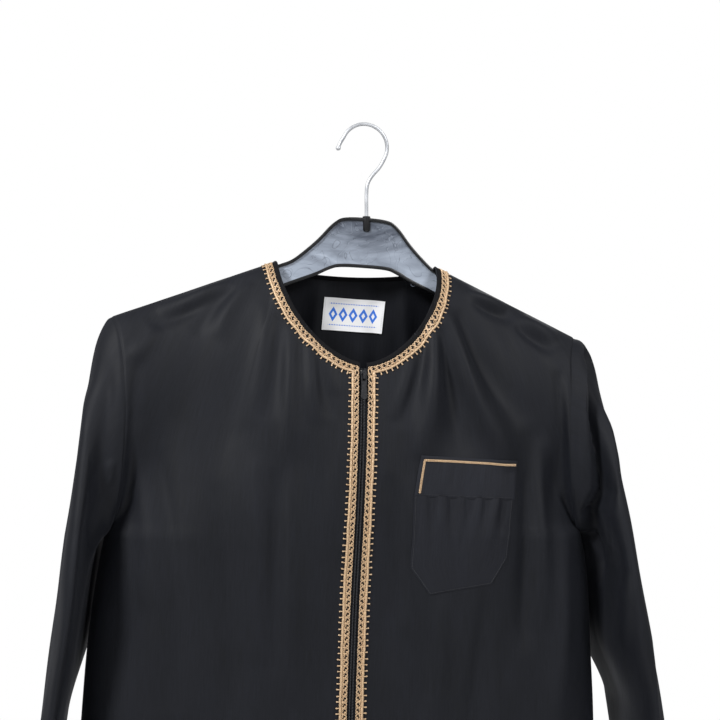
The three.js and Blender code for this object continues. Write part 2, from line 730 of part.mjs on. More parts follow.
// Line of gold chain stitch: up the band's left edge, mitred, then along its top.
function pocketStitch() {
  const steps = 10;
  const end = POCKET_TOP.right - 0.5;
  const rails = [-0.5, 0.5].map((edge) => {
    const inset = STITCH.inset + edge * STITCH.width;
    const rail = [];
    for (let k = 0; k <= steps; k += 1) {
      const down = mix(STITCH.foot, inset, k / steps);
      rail.push(rolled(pocketRow(down).left + inset, -down, POCKET.roll));
    }
    for (let k = 1; k <= steps; k += 1) {
      const start = pocketRow(inset).left + inset;
      rail.push(rolled(mix(start, end, k / steps), -inset, POCKET.roll));
    }
    return rail.map((flat) => onFrontLeft(POCKET.x + flat.x, POCKET.z + flat.z));
  });
  const low = ON + POCKET.wall + 0.4;
  return strip(rails[0], rails[1], low, low + STITCH.wall);
}

function neckLabel() {
  const rows = [0, 0.25, 0.5, 0.75, 1].map((share) => ({
    down: (share - 0.5) * LABEL.height,
    left: -LABEL.width / 2,
    right: LABEL.width / 2,
  }));
  return patch(onBack, LABEL, rows, 6, -ON - LABEL.wall, -ON);
}

// ---------------------------------------------------------------- zip

function zipCentre(z) {
  const left = onPanel(fronts.left, centreX(z) + ZIP.half, z).point;
  const right = onPanel(fronts.right, centreX(z) - ZIP.half, z).point;
  return left.add(right).multiplyScalar(0.5);
}

// Tape behind a front, from just off the centre line to its sewn edge.
function zipTape(panel) {
  const outer = zipRail(panel, ZIP.tapeOut - ZIP.half, ZIP.topZ, ZIP_BOTTOM);
  const edge = zipRail(panel, 0.2, ZIP.topZ, ZIP_BOTTOM);
  const inner = edge.map((place) => {
    const point = place.point.clone();
    point.x -= panel.side.sign * (ZIP.half + 0.2 - ZIP.tapeIn);
    return { point, normal: place.normal };
  });
  const grid = [inner, edge, outer];
  const points = grid.map((rail) => rail.map((place) => place.point));
  const normals = grid.map((rail) => rail.map((place) => place.normal));
  return shell(points, normals, -ON - ZIP.tapeWall, -ON);
}

function zipChain() {
  const rails = [-CHAIN.half, CHAIN.half].map((reach) => {
    const rail = [];
    for (let k = 0; k <= ZIP_STEPS; k += 1) {
      const point = zipCentre(mix(CHAIN.topZ, ZIP_BOTTOM + CHAIN.foot, k / ZIP_STEPS));
      point.x += reach;
      rail.push({ point, normal: new THREE.Vector3(0, -1, 0) });
    }
    return rail;
  });
  return strip(rails[0], rails[1], CHAIN.low, CHAIN.high);
}

// Shape drawn across the slider (x) and along the chain (z), with a depth towards the cloth.
function flatPlate(shape, depth) {
  const geometry = new THREE.ExtrudeGeometry(shape, { depth, bevelEnabled: false, curveSegments: 5 });
  geometry.rotateX(Math.PI / 2);
  return geometry;
}

// Shape drawn along the chain (x to +Z) and away from the cloth (y to -Y), centred across.
function sideProfile(shape, width) {
  const geometry = new THREE.ExtrudeGeometry(
    shape,
    { depth: width, bevelEnabled: false, curveSegments: 5 },
  );
  geometry.translate(0, 0, -width / 2);
  geometry.applyMatrix4(new THREE.Matrix4().makeBasis(
    new THREE.Vector3(0, 0, 1),
    new THREE.Vector3(0, -1, 0),
    new THREE.Vector3(1, 0, 0),
  ));
  return geometry;
}

function zipSlider() {
  const half = SLIDER.width / 2;
  const top = SLIDER.height / 2;
  const plate = new THREE.Shape();
  plate.moveTo(-SLIDER.mouth / 2, -top);
  plate.lineTo(SLIDER.mouth / 2, -top);
  plate.quadraticCurveTo(half, -top / 3, half, top / 2);
  plate.quadraticCurveTo(half, top, half / 2, top);
  plate.lineTo(-half / 2, top);
  plate.quadraticCurveTo(-half, top, -half, top / 2);
  plate.quadraticCurveTo(-half, -top / 3, -SLIDER.mouth / 2, -top);
  const body = flatPlate(plate, SLIDER.back - SLIDER.face);
  body.translate(0, SLIDER.back, 0);

  const reach = SLIDER.bridgeLength / 2;
  const rise = SLIDER.bridgeRise;
  const wall = SLIDER.bridgeWall;
  const arch = new THREE.Shape();
  arch.moveTo(-reach, -0.3);
  arch.lineTo(-reach, rise - 1);
  arch.quadraticCurveTo(-reach, rise, -reach + 1, rise);
  arch.lineTo(reach - 1, rise);
  arch.quadraticCurveTo(reach, rise, reach, rise - 1);
  arch.lineTo(reach, -0.3);
  arch.lineTo(reach - wall, -0.3);
  arch.lineTo(reach - wall, rise - wall);
  arch.lineTo(-reach + wall, rise - wall);
  arch.lineTo(-reach + wall, -0.3);
  const bridge = sideProfile(arch, SLIDER.bridgeWidth);
  bridge.translate(0, SLIDER.face, 0);
  return fromSolid(toSolid(body).add(toSolid(bridge)));
}

// Pull tab about its own hinge axis: a plate with a round foot and a slot under its top bar.
function zipPull() {
  const half = PULL.width / 2;
  const top = PULL.bar / 2;
  const neck = half * 0.82;
  const tab = new THREE.Shape();
  tab.moveTo(-neck, top);
  tab.lineTo(-neck, top - PULL.slot - 2);
  tab.quadraticCurveTo(-neck * 0.8, -PULL.length / 2, -half, -PULL.length + half);
  for (let degrees = 195; degrees < 360; degrees += 15) {
    const [across, up] = [Math.cos(radians(degrees)), Math.sin(radians(degrees))];
    tab.lineTo(half * across, half * up - PULL.length + half);
  }
  tab.lineTo(half, -PULL.length + half);
  tab.quadraticCurveTo(neck * 0.8, -PULL.length / 2, neck, top - PULL.slot - 2);
  tab.lineTo(neck, top);
  const slot = new THREE.Path();
  slot.moveTo(-PULL.slotWidth / 2, -top);
  slot.lineTo(-PULL.slotWidth / 2, -top - PULL.slot);
  slot.lineTo(PULL.slotWidth / 2, -top - PULL.slot);
  slot.lineTo(PULL.slotWidth / 2, -top);
  tab.holes.push(slot);
  const geometry = flatPlate(tab, PULL.wall);
  geometry.translate(0, PULL.wall / 2, 0);
  return geometry;
}

// Frame at the slider: +Z up along the chain, -Y away from the cloth.
function sliderFrame() {
  const low = zipCentre(SLIDER.z - 12);
  const high = zipCentre(SLIDER.z + 6);
  const up = high.sub(low).normalize();
  const across = new THREE.Vector3(1, 0, 0).addScaledVector(up, -up.x).normalize();
  const inward = up.clone().cross(across);
  const frame = new THREE.Group();
  frame.position.copy(zipCentre(SLIDER.z));
  frame.quaternion.setFromRotationMatrix(new THREE.Matrix4().makeBasis(across, inward, up));
  return frame;
}

// ---------------------------------------------------------------- hanger

// Half outline of the blade in its own frame: reach from the middle, height below its top.
const BLADE_TOP = [
  { reach: 22.9, down: 0 },
  { reach: 34, down: 8 },
  { reach: 46, down: 23 },
  { reach: 57, down: 34 },
  { reach: 72, down: 47.4 },
];
const BLADE_FOOT = [
  { reach: 210, depth: 19 },
  { reach: 150, depth: 23.5 },
  { reach: 100, depth: 26 },
  { reach: 71, depth: 24 },
];
const BLADE_MIDDLE = [
  { reach: 46, down: 60.5 },
  { reach: 34.6, down: 54 },
  { reach: 24, down: 50 },
];

function armTop(reach) {
  return RIDGE.down + RIDGE.slope * (reach - RIDGE.at) + HANGER.clearance;
}

function bladeOutline() {
  const half = BLADE_TOP.map((row) => new THREE.Vector2(row.reach, -row.down));
  half.push(new THREE.Vector2(86, -armTop(86)));
  half.push(new THREE.Vector2(HANGER.reach - 8, -armTop(HANGER.reach - 8)));
  half.push(new THREE.Vector2(HANGER.reach - 1.5, -armTop(HANGER.reach - 8) - 6));
  half.push(new THREE.Vector2(HANGER.reach, -armTop(HANGER.reach) - 8));
  half.push(new THREE.Vector2(HANGER.reach - 3, -armTop(HANGER.reach) - 14));
  for (const row of BLADE_FOOT) {
    half.push(new THREE.Vector2(row.reach, -armTop(row.reach) - row.depth));
  }
  half.push(...BLADE_MIDDLE.map((row) => new THREE.Vector2(row.reach, -row.down)));
  const mirrored = half.map((point) => new THREE.Vector2(-point.x, point.y)).reverse();
  return [...half, ...mirrored];
}

// The outline moved inwards by a distance, for the recess between the rims.
function insetOutline(outline, distance) {
  const count = outline.length;
  return outline.map((point, k) => {
    const before = outline[(k + count - 1) % count];
    const after = outline[(k + 1) % count];
    const a = point.clone().sub(before).normalize();
    const b = after.clone().sub(point).normalize();
    const inward = new THREE.Vector2(a.y + b.y, -a.x - b.x).normalize();
    const spread = Math.max(Math.sqrt((1 + a.dot(b)) / 2), 0.5);
    return point.clone().addScaledVector(inward, distance / spread);
  });
}

function plateSolid(outline, from, to) {
  const geometry = flatPlate(new THREE.Shape(outline), to - from);
  geometry.translate(0, to, 0);
  return toSolid(geometry);
}

function stemCylinder(radius, topZ, bottomZ, sides) {
  const geometry = new THREE.CylinderGeometry(radius, radius, topZ - bottomZ, sides);
  geometry.rotateX(Math.PI / 2);
  geometry.translate(HOOK.stemX, 0, (topZ + bottomZ) / 2);
  return toSolid(geometry);
}

function hangerBlade() {
  const outline = bladeOutline();
  const recess = insetOutline(outline, HANGER.rimWidth);
  let blade = plateSolid(outline, -HANGER.rim / 2, HANGER.rim / 2);
  blade = blade.subtract(plateSolid(recess, -HANGER.rim, -HANGER.web / 2));
  blade = blade.subtract(plateSolid(recess, HANGER.web / 2, HANGER.rim));
  const turned = fromSolid(blade);
  turned.rotateY(radians(HANGER.roll));
  turned.translate(HANGER.x, 0, HANGER.z);
  const bottomZ = HANGER.z - HOOK.socket;
  return fromSolid(
    toSolid(turned)
      .add(stemCylinder(HOOK.wire + 2, HANGER.z + 1.5, bottomZ - 2, 16))
      .subtract(stemCylinder(HOOK.wire + SEAM, HANGER.z + 10, bottomZ, 16)),
  );
}

// Wire centre line of the hook: a flared end, an arc over the bearing point, a swan neck, the stem.
function hookPath() {
  const points = [new THREE.Vector3(-26.6, 0, -22.8), new THREE.Vector3(-24.6, 0, -17.8)];
  for (let degrees = 156; degrees >= -20; degrees -= 16) {
    const x = HOOK.radius * Math.cos(radians(degrees));
    points.push(new THREE.Vector3(x, 0, HOOK.centreZ + HOOK.radius * Math.sin(radians(degrees))));
  }
  points.push(new THREE.Vector3(15.7, 0, -40.5));
  points.push(new THREE.Vector3(7.6, 0, -50));
  points.push(new THREE.Vector3(3.2, 0, -58));
  points.push(new THREE.Vector3(HOOK.stemX, 0, -68));
  points.push(new THREE.Vector3(HOOK.stemX, 0, -84));
  points.push(new THREE.Vector3(HOOK.stemX, 0, HANGER.z - HOOK.socket + 2));
  return new THREE.CatmullRomCurve3(points);
}

function hangerHook() {
  const path = hookPath();
  const circle = new THREE.Shape().absarc(0, 0, HOOK.wire, 0, 2 * Math.PI, false);
  const wire = new THREE.ExtrudeGeometry(circle, { steps: 44, extrudePath: path, curveSegments: 4 });
  const tip = new THREE.SphereGeometry(HOOK.tipRadius, 10, 8);
  tip.translate(...path.getPoint(0).toArray());
  return fromSolid(toSolid(wire).add(toSolid(tip)));
}

// ---------------------------------------------------------------- assembly

const garment = new THREE.Group();

function addPart(parent, name, geometry, color, roughness, metalness = 0) {
  const mesh = new THREE.Mesh(
    geometry,
    new THREE.MeshStandardMaterial({ color, roughness, metalness }),
  );
  mesh.name = name;
  parent.add(mesh);
  return mesh;
}

addPart(garment, 'front_left', panelShell(fronts.left), COLOURS.cloth, 0.85);
addPart(garment, 'front_right', panelShell(fronts.right), COLOURS.cloth, 0.85);
addPart(garment, 'back', backShell(), COLOURS.cloth, 0.85);
addPart(garment, 'sleeve_left', sleeveShell(SIDES.left), COLOURS.cloth, 0.85);
addPart(garment, 'sleeve_right', sleeveShell(SIDES.right), COLOURS.cloth, 0.85);
addPart(garment, 'neck_binding', neckBinding(), COLOURS.band, 0.8);
addPart(garment, 'trim_left', frontTrim(fronts.left), COLOURS.gold, 0.6);
addPart(garment, 'trim_right', frontTrim(fronts.right), COLOURS.gold, 0.6);
addPart(garment, 'trim_back', backTrim(), COLOURS.gold, 0.6);
addPart(garment, 'pocket', pocketBody(), COLOURS.cloth, 0.85);
addPart(garment, 'pocket_band', pocketBand(), COLOURS.band, 0.85);
addPart(garment, 'pocket_stitch', pocketStitch(), COLOURS.gold, 0.6);
addPart(garment, 'label', neckLabel(), COLOURS.label, 0.7);
addPart(garment, 'zip_tape_left', zipTape(fronts.left), COLOURS.tape, 0.9);
addPart(garment, 'zip_tape_right', zipTape(fronts.right), COLOURS.tape, 0.9);
addPart(garment, 'zip_chain', zipChain(), COLOURS.coil, 0.5);
addPart(garment, 'hanger_blade', hangerBlade(), COLOURS.plastic, 0.35);
addPart(garment, 'hanger_hook', hangerHook(), COLOURS.steel, 0.3, 1);

const slider = sliderFrame();
garment.add(slider);
addPart(slider, 'zip_slider', zipSlider(), COLOURS.metal, 0.4, 0.8);
const pull = addPart(slider, 'zip_pull', zipPull(), COLOURS.metal, 0.4, 0.8);
pull.position.y = SLIDER.face - SLIDER.bridgeRise / 2 + SLIDER.bridgeWall / 2;

export default garment;
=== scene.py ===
import math

import bmesh
import bpy
import numpy as np
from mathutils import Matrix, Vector


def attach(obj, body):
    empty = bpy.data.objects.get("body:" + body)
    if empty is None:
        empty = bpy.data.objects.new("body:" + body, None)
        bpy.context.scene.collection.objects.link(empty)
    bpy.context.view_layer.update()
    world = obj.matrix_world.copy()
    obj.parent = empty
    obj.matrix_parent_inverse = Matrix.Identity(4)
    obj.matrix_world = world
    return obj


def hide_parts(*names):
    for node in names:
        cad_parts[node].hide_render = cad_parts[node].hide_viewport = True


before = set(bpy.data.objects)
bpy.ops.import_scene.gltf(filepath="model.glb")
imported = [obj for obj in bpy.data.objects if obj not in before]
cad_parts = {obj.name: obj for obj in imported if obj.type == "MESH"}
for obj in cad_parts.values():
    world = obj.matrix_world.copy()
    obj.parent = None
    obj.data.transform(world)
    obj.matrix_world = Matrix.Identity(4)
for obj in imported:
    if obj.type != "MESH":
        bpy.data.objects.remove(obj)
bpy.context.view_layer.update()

MM = 0.001
GARMENT = "garment"


def table(names, *rows):
    """Rows of plain values as rows with named columns."""
    return [dict(zip(names, row)) for row in rows]


# ------------------------------------------------------------------ driving dimensions

HEM_Z = -1540
NECK = {
    "x": -8.5, "z": -138.5, "half_width": 80.5, "front_drop": 98.8, "back_drop": 12.3,
    "front_y": -48, "back_y": 20, "front_round": 0.373, "power": 1.176, "tilt": 0.022,
    "crowd": 1.4,
}
RIDGE = {"down": 49.5, "at": 87, "slope": 0.415}
CENTRE = {"top": -8, "shift": -19, "from": -139, "over": 500}
SIDES = {
    "left": {
        "sign": 1, "tip_x": 219, "under_x": 222, "under_z": -408, "inset": 20, "quick": 14,
        "bulge": 18.3, "bulge_reach": 8, "slope": 0.15, "gap": 30,
    },
    "right": {
        "sign": -1, "tip_x": -250, "under_x": -254, "under_z": -398, "inset": 16, "quick": 8,
        "bulge": 12.5, "bulge_reach": 18, "slope": 0.135, "gap": 25,
    },
}
ARMHOLE = {"front_depth": 45, "back_depth": 38, "reach_top": 4, "reach_low": 14}
CHEST = {"z": -403, "front_depth": 68, "back_depth": 44, "power": 0.87}
FLARE = {
    "quick_over": 45, "hem": 75, "power": 1.25, "front_slope": 0.024, "back_slope": 0.031,
    "ease_over": 60,
}
ZIP = {"half": 3.5, "top_z": -243, "length": 400, "tape_in": 0.5, "tape_out": 14}
ZIP_BOTTOM = ZIP["top_z"] - ZIP["length"]
ZIP_FOOT = {"seam": -650, "over": 8}
SLEEVE = {
    "drop": 590, "tilt": 1.6, "front_depth": 80, "back_depth": 74, "cuff_depth": 62,
    "deepen": 0.35, "beside_to": 75, "part_over": 110, "clear": 1.8, "clear_over": 8,
    "tuck": 15, "tuck_over": 40, "seam_share": 0.12,
}
TRIM = {"start": 4, "width": 10, "zip_start": 0.8}
POCKET = {"x": 93, "z": -329.6, "roll": 4.6, "width": 103}
# Rows of the pocket in its own frame: down, left end, right end, rise of the right end.
POCKET_ROWS = np.array([
    (0, -49.5, 50.5, 0), (39.5, -54.2, 50, 1), (107.8, -52.5, 45.1, 13), (132.8, -31.4, 30.6, 12.4),
])
POCKET_BAND, POCKET_SIDE_END, POCKET_FOOT = POCKET_ROWS[1:, 0]
STITCH = {
    "inset": 4.2, "foot": 36, "pitch": 2.5, "sway": 0.85, "radius": 0.4, "height": 2.25,
}
LABEL = {"x": -6.9, "z": -188.6, "width": 64, "height": 33, "roll": 4.1}
HANGER = {"x": 1.5, "z": -92.2, "roll": 3.4, "reach": 222, "clearance": 3.9}
HOOK = {"centre_z": -21.2, "radius": 23, "wire": 1.8, "stem_x": 2, "tip": 2.5, "socket": 12.3}

CLOTH_OUT = 0.5              # cloth wall outside and inside its middle surface
CLOTH_IN = 0.3
SEAM_DIP = {"depth": 1.2, "reach": 1.5}
CREASE_GAIN = 2.0
RUMPLE_WIDE, RUMPLE_FINE = 1.2, 0.5
# How the creases die out: below the top edge, beside a sewn side and on the turned-up hem.
EASE = {"top": 14, "side": 16, "held": 0.25, "hem_from": 1.99, "hem": 0.9}
# Columns and rows of a panel's grid. The rows go 0 top, 1 underarm level, 2 hem.
PANEL_SPAN = 230
NECK_COLUMNS, SHOULDER_COLUMNS = 46, 58
UPPER_ROWS, CHEST_ROWS, SKIRT_ROWS, HEM_ROWS = 66, 56, 60, 9
CHEST_END, SKIRT_END, HEM_STITCH_ROW = 1.3, 1.98, 1.981

# Skirt flutes: turns round the body from centre front towards the wearer's left.
FLUTES = [
    {"turn": 0.055, "width": 0.026, "rise": 13, "from": -560},
    {"turn": 0.135, "width": 0.03, "rise": 16, "from": -520},
    {"turn": 0.215, "width": 0.024, "rise": 11, "from": -640},
    {"turn": 0.315, "width": 0.028, "rise": 15, "from": -600},
    {"turn": 0.405, "width": 0.032, "rise": 17, "from": -540},
    {"turn": 0.5, "width": 0.026, "rise": 12, "from": -660},
    {"turn": 0.585, "width": 0.03, "rise": 16, "from": -560},
    {"turn": 0.675, "width": 0.027, "rise": 13, "from": -620},
    {"turn": 0.785, "width": 0.026, "rise": 12, "from": -580},
    {"turn": 0.865, "width": 0.03, "rise": 16, "from": -540},
    {"turn": 0.945, "width": 0.024, "rise": 12, "from": -640},
]

# Broad folds of the body: distance from the centre line at both ends, heights, width, rise.
FOLD_NAMES = ("face", "side", "top", "bottom", "from", "to", "width", "rise")
FOLDS = table(
    FOLD_NAMES,
    ("front", 1, 62, 70, -165, -330, 16, 3.2),
    ("front", 1, 112, 150, -235, -340, 18, 3.5),
    ("front", 1, 20, 48, -370, -560, 16, -3.5),
    ("front", 1, 176, 168, -330, -560, 24, -4),
    ("front", -1, 50, 58, -205, -330, 14, 3.2),
    ("front", -1, 140, 120, -225, -380, 24, -3.5),
    ("front", -1, 66, 60, -340, -620, 20, 3.2),
    ("front", -1, 172, 180, -350, -600, 24, 3.5),
    ("back", 1, 70, 96, -190, -420, 26, 3.5),
    ("back", 1, 160, 140, -300, -620, 26, -4),
    ("back", -1, 84, 70, -200, -470, 26, 3.5),
    ("back", -1, 150, 166, -280, -560, 24, -4),
)

# Creases of the body: x and z of both ends, sideways bow, width on the left
# and on the right of the line, and rise (a negative rise is a trough).
CREASE_NAMES = ("x0", "z0", "x1", "z1", "bow", "left", "right", "rise")
CREASES = {
    "front": table(
        CREASE_NAMES,
        # below the neck on the wearer's left, fanning out to the pocket's corners
        (62, -190, 43, -330, 4, 7, 11, 4.2),
        (74, -188, 136, -342, -7, 8, 12, 5.2),
        (68, -208, 88, -330, 0, 12, 10, -4.0),
        (90, -190, 150, -300, -6, 9, 14, -3.2),
        (52, -214, 24, -300, 3, 6, 7, -2.4),
        (38, -226, 16, -292, 3, 5, 6, 1.2),
        # below the neck on the wearer's right
        (-80, -208, -82, -334, -2, 7, 8, 2.4),
        (-61, -214, -56, -296, -2, 7, 8, 1.5),
        (-70, -206, -69, -300, 0, 6, 7, -1.1),
        (-46, -226, -36, -268, -3, 6, 7, 0.9),
        (-52, -222, -44, -290, -3, 6, 6, -0.9),
        (-92, -196, -104, -292, 3, 6, 9, -1.6),
        (-104, -186, -126, -300, 4, 8, 10, 1.6),
        # beside the zip
        (12, -350, 26, -486, 3, 8, 8, -1.7),
        (33, -352, 34, -500, -3, 9, 8, 1.5),
        (-30, -300, -46, -420, -3, 8, 8, 1.2),
        (-36, -420, -52, -560, 3, 9, 9, -1.4),
        # down the chest and the waist
        (-116, -334, -110, -520, 3, 10, 13, 2.2),
        (-80, -336, -84, -560, -3, 8, 11, 2.2),
        (-98, -346, -96, -530, 0, 7, 8, -1.9),
        (-150, -360, -140, -600, 5, 12, 14, -2.2),
        (-226, -300, -214, -470, 5, 10, 12, 1.8),
        (-205, -330, -190, -560, 6, 12, 10, -2.2),
        (62, -470, 40, -640, 5, 9, 11, 2.2),
        (110, -466, 96, -640, -4, 10, 10, -2.4),
        (154, -350, 150, -520, 3, 9, 9, -3.0),
        (172, -320, 168, -500, -3, 8, 10, 2.8),
        (196, -410, 176, -620, 5, 10, 12, 2.4),
        # over the shoulders
        (-138, -158, -206, -186, 3, 8, 7, 2.2),
        (-148, -171, -214, -201, 3, 7, 7, -2.0),
        (-134, -166, -170, -212, -3, 7, 6, -1.8),
        (-118, -162, -150, -214, -4, 6, 7, 1.6),
        (-206, -204, -240, -236, 3, 7, 8, 1.8),
        (102, -167, 144, -182, -2, 6, 6, 2.9),
        (108, -177, 152, -193, -2, 6, 6, -2.6),
        (160, -192, 196, -212, -2, 6, 6, 2.7),
        (152, -200, 190, -226, -2, 6, 6, -2.5),
        # beside the armholes
        (200, -226, 202, -334, 4, 5, 6, 2.6),
        (190, -250, 188, -380, 4, 7, 7, -2.8),
        (-224, -238, -232, -372, -5, 8, 8, -1.8),
        (196, -372, 216, -402, 2, 4, 5, -1.8),
        (-228, -366, -250, -392, 2, 5, 5, -1.8),
    ),
    "back": table(
        CREASE_NAMES,
        (-58, -160, -104, -336, 4, 9, 12, 2.4),
        (-40, -158, -52, -300, -3, 7, 9, -1.8),
        (14, -160, 30, -372, -4, 9, 11, 2.0),
        (44, -162, 74, -330, -5, 8, 10, -2.0),
        (88, -186, 132, -380, -4, 10, 10, 2.2),
        (-150, -206, -196, -402, 6, 10, 13, -2.3),
        (150, -216, 184, -420, -5, 10, 10, -2.3),
        (-178, -230, -226, -380, 5, 8, 9, 1.8),
        (176, -240, 206, -386, -4, 7, 8, 1.9),
        (-12, -320, -26, -560, 4, 11, 12, -1.8),
        (58, -410, 44, -640, -5, 12, 12, 2.4),
        (-92, -420, -86, -660, 5, 12, 13, -2.4),
        (-136, -470, -150, -700, 5, 10, 12, 2.2),
        (112, -480, 126, -720, -5, 12, 12, -2.2),
        (-206, -380, -242, -400, 2, 5, 5, -1.8),
        (184, -384, 212, -404, 2, 5, 5, -1.8),
    ),
}
# Long soft creases of the skirt, the same columns.
SKIRT_CREASES = {
    "front": table(
        CREASE_NAMES,
        (-196, -640, -214, -1040, 8, 13, 15, 3.2),
        (-150, -700, -170, -1300, -9, 12, 14, -3.0),
        (-96, -620, -120, -980, 7, 13, 12, 2.6),
        (-60, -760, -84, -1420, -8, 12, 15, 3.0),
        (18, -680, 22, -1120, 7, 12, 13, -2.8),
        (66, -720, 90, -1380, -9, 13, 15, 2.8),
        (112, -660, 132, -1000, 7, 12, 12, -2.6),
        (158, -700, 196, -1340, -9, 13, 13, 3.2),
        (-236, -860, -272, -1480, 8, 12, 14, -2.8),
        (204, -900, 232, -1500, 7, 12, 12, -2.6),
        (-20, -900, -34, -1500, 6, 11, 12, -2.4),
        (-118, -1080, -136, -1530, -5, 12, 12, 2.4),
    ),
    "back": table(
        CREASE_NAMES,
        (-206, -680, -226, -1120, 8, 14, 15, 3.2),
        (-148, -620, -176, -1260, -9, 13, 14, -3.0),
        (-92, -740, -112, -1400, 8, 12, 14, 2.8),
        (-30, -640, -38, -1040, -7, 12, 12, -2.6),
        (24, -700, 30, -1300, 7, 13, 14, 3.0),
        (84, -760, 112, -1420, -8, 12, 13, -2.8),
        (140, -640, 172, -1100, 7, 12, 12, 2.8),
        (196, -860, 230, -1480, -8, 13, 13, 2.6),
        (-60, -1080, -70, -1520, 5, 12, 12, -2.2),
    ),
}

# Folds of the sleeves round their hidden sides: angle from the outer edge towards the front at
# both ends, place down the sleeve at both ends, width in degrees and rise.
SLEEVE_FOLD_NAMES = ("angle0", "angle1", "from", "to", "width", "rise")
SLEEVE_FOLDS = {
    "left": table(
        SLEEVE_FOLD_NAMES,
        (24, 20, 0.06, 0.5, 16, -4.2),
        (60, 86, 0.5, 0.8, 15, -2.8),
        (36, 52, 0.5, 0.86, 16, 3.2),
        (98, 120, 0.62, 0.94, 14, 2.4),
        (70, 66, 0.74, 1.02, 12, -2.2),
        (280, 262, 0.06, 0.42, 18, 3.0),
        (318, 300, 0.16, 0.56, 16, -3.0),
        (238, 256, 0.4, 0.74, 16, -2.8),
        (292, 276, 0.55, 0.96, 17, 3.0),
        (204, 214, 0.36, 0.9, 14, 2.4),
    ),
    "right": table(
        SLEEVE_FOLD_NAMES,
        (20, 28, 0.08, 0.48, 16, -2.4),
        (46, 60, 0.56, 0.9, 16, 3.0),
        (104, 122, 0.6, 0.96, 14, -2.6),
        (84, 78, 0.72, 1.02, 12, 2.2),
        (276, 262, 0.04, 0.4, 18, 3.0),
        (312, 300, 0.18, 0.54, 17, -3.0),
        (240, 252, 0.42, 0.76, 16, -2.8),
        (296, 282, 0.55, 0.98, 17, 3.0),
        (206, 216, 0.34, 0.86, 14, 2.4),
    ),
}
# Creases on the front of the sleeves: width towards -X and towards +X, rise, and the line.
SLEEVE_CREASES = {
    "left": [
        (3.4, 13.0, -17, [(232, -196), (231, -214), (228, -250), (224, -286), (226, -312),
                          (227, -364), (220, -387), (229, -424), (231, -443), (227, -467),
                          (234, -560)]),
        (6.0, 6.0, 1.6, [(243, -280), (243, -364), (242, -424), (244, -480), (252, -580)]),
        (4.5, 5.0, 3.2, [(210, -212), (218, -244), (211, -324), (212, -354), (210, -380)]),
        (5.0, 5.0, 2.2, [(222, -400), (220, -440), (214, -500), (220, -580)]),
        (4.0, 5.0, -1.6, [(250, -330), (250, -380), (252, -470), (258, -560)]),
    ],
    "right": [
        (9.0, 8.0, -4.6, [(-250, -226), (-251, -243), (-259, -364), (-268, -392), (-272, -455),
                          (-278, -580)]),
        (3.5, 3.5, 2.6, [(-249, -328), (-250, -344), (-253, -356)]),
        (7.0, 8.0, 2.8, [(-270, -250), (-276, -330), (-288, -400), (-292, -500)]),
        (6.0, 5.0, 2.0, [(-246, -366), (-252, -410), (-256, -480)]),
        (6.0, 6.0, -2.2, [(-292, -300), (-298, -380), (-308, -460), (-312, -560)]),
    ],
}

# ------------------------------------------------------------------ small helpers


def mix(a, b, t):
    return a + (b - a) * t


def smooth(t):
    held = np.clip(t, 0, 1)
    return held * held * (3 - 2 * held)


def signed_power(value, power):
    return np.sign(value) * np.abs(value) ** power


def rolled(right, up, degrees):
    """A flat offset (right, up) turned by a clockwise roll, as x and z."""
    angle = math.radians(degrees)
    return (right * math.cos(angle) + up * math.sin(angle),
            up * math.cos(angle) - right * math.sin(angle))


def unit(vectors):
    length = np.linalg.norm(vectors, axis=-1, keepdims=True)
    return vectors / np.maximum(length, 1e-9)


def xyz(x, y, z):
    return np.stack(np.broadcast_arrays(np.asarray(x, float), y, z), axis=-1)


def running(steps):
    """Distance run at each point of a line, from its steps."""
    return np.concatenate([[0], np.cumsum(steps)])


def read_off(at, run, values):
    """Vectors given along a run, read off at other places of it."""
    return np.stack([np.interp(at, run, values[:, axis]) for axis in range(3)], -1)


def looked_up(points, normals, i, j):
    """Points and normals between the knots of a grid, at fractional columns and rows."""
    i0 = np.clip(i.astype(int), 0, points.shape[0] - 2)
    j0 = np.clip(j.astype(int), 0, points.shape[1] - 2)
    s, t = (i - i0)[..., None], (j - j0)[..., None]
    found = []
    for grid in (points, normals):
        near = mix(grid[i0, j0], grid[i0, j0 + 1], t)
        far = mix(grid[i0 + 1, j0], grid[i0 + 1, j0 + 1], t)
        found.append(mix(near, far, s))
    return found[0], unit(found[1])


def ring_quads(rings, sides, closed=False):
    """Quads between neighbouring rings of vertices, and from the last to the first if closed."""
    i, j = np.meshgrid(np.arange(rings if closed else rings - 1), np.arange(sides), indexing="ij")
    following, after = (i + 1) % rings, (j + 1) % sides
    quads = [i * sides + j, i * sides + after, following * sides + after, following * sides + j]
    return np.stack(quads, -1).reshape(-1, 4)


TURNED = [0, 3, 2, 1]        # corners of a quad that is wound the other way


# ------------------------------------------------------------------ lines of the garment


def centre_x(z):
    return CENTRE["top"] + CENTRE["shift"] * smooth((CENTRE["from"] - z) / CENTRE["over"])


def ridge_z(x):
    """Height of the shoulder line, straight on each side in the hanger's own frame."""
    angle = math.radians(HANGER["roll"])
    base = RIDGE["down"] - RIDGE["slope"] * RIDGE["at"]
    lean = math.cos(angle) - np.sign(x - HANGER["x"]) * RIDGE["slope"] * math.sin(angle)
    reach = (x - HANGER["x"] + base * math.sin(angle)) / lean
    drop = -base - RIDGE["slope"] * np.abs(reach)
    return HANGER["z"] + rolled(reach, drop, HANGER["roll"])[1]


def round_share(down):
    """Share of its depth that a round shoulder reaches at a share of its height."""
    return np.sqrt(np.maximum(1 - (1 - down) ** 2, 0))


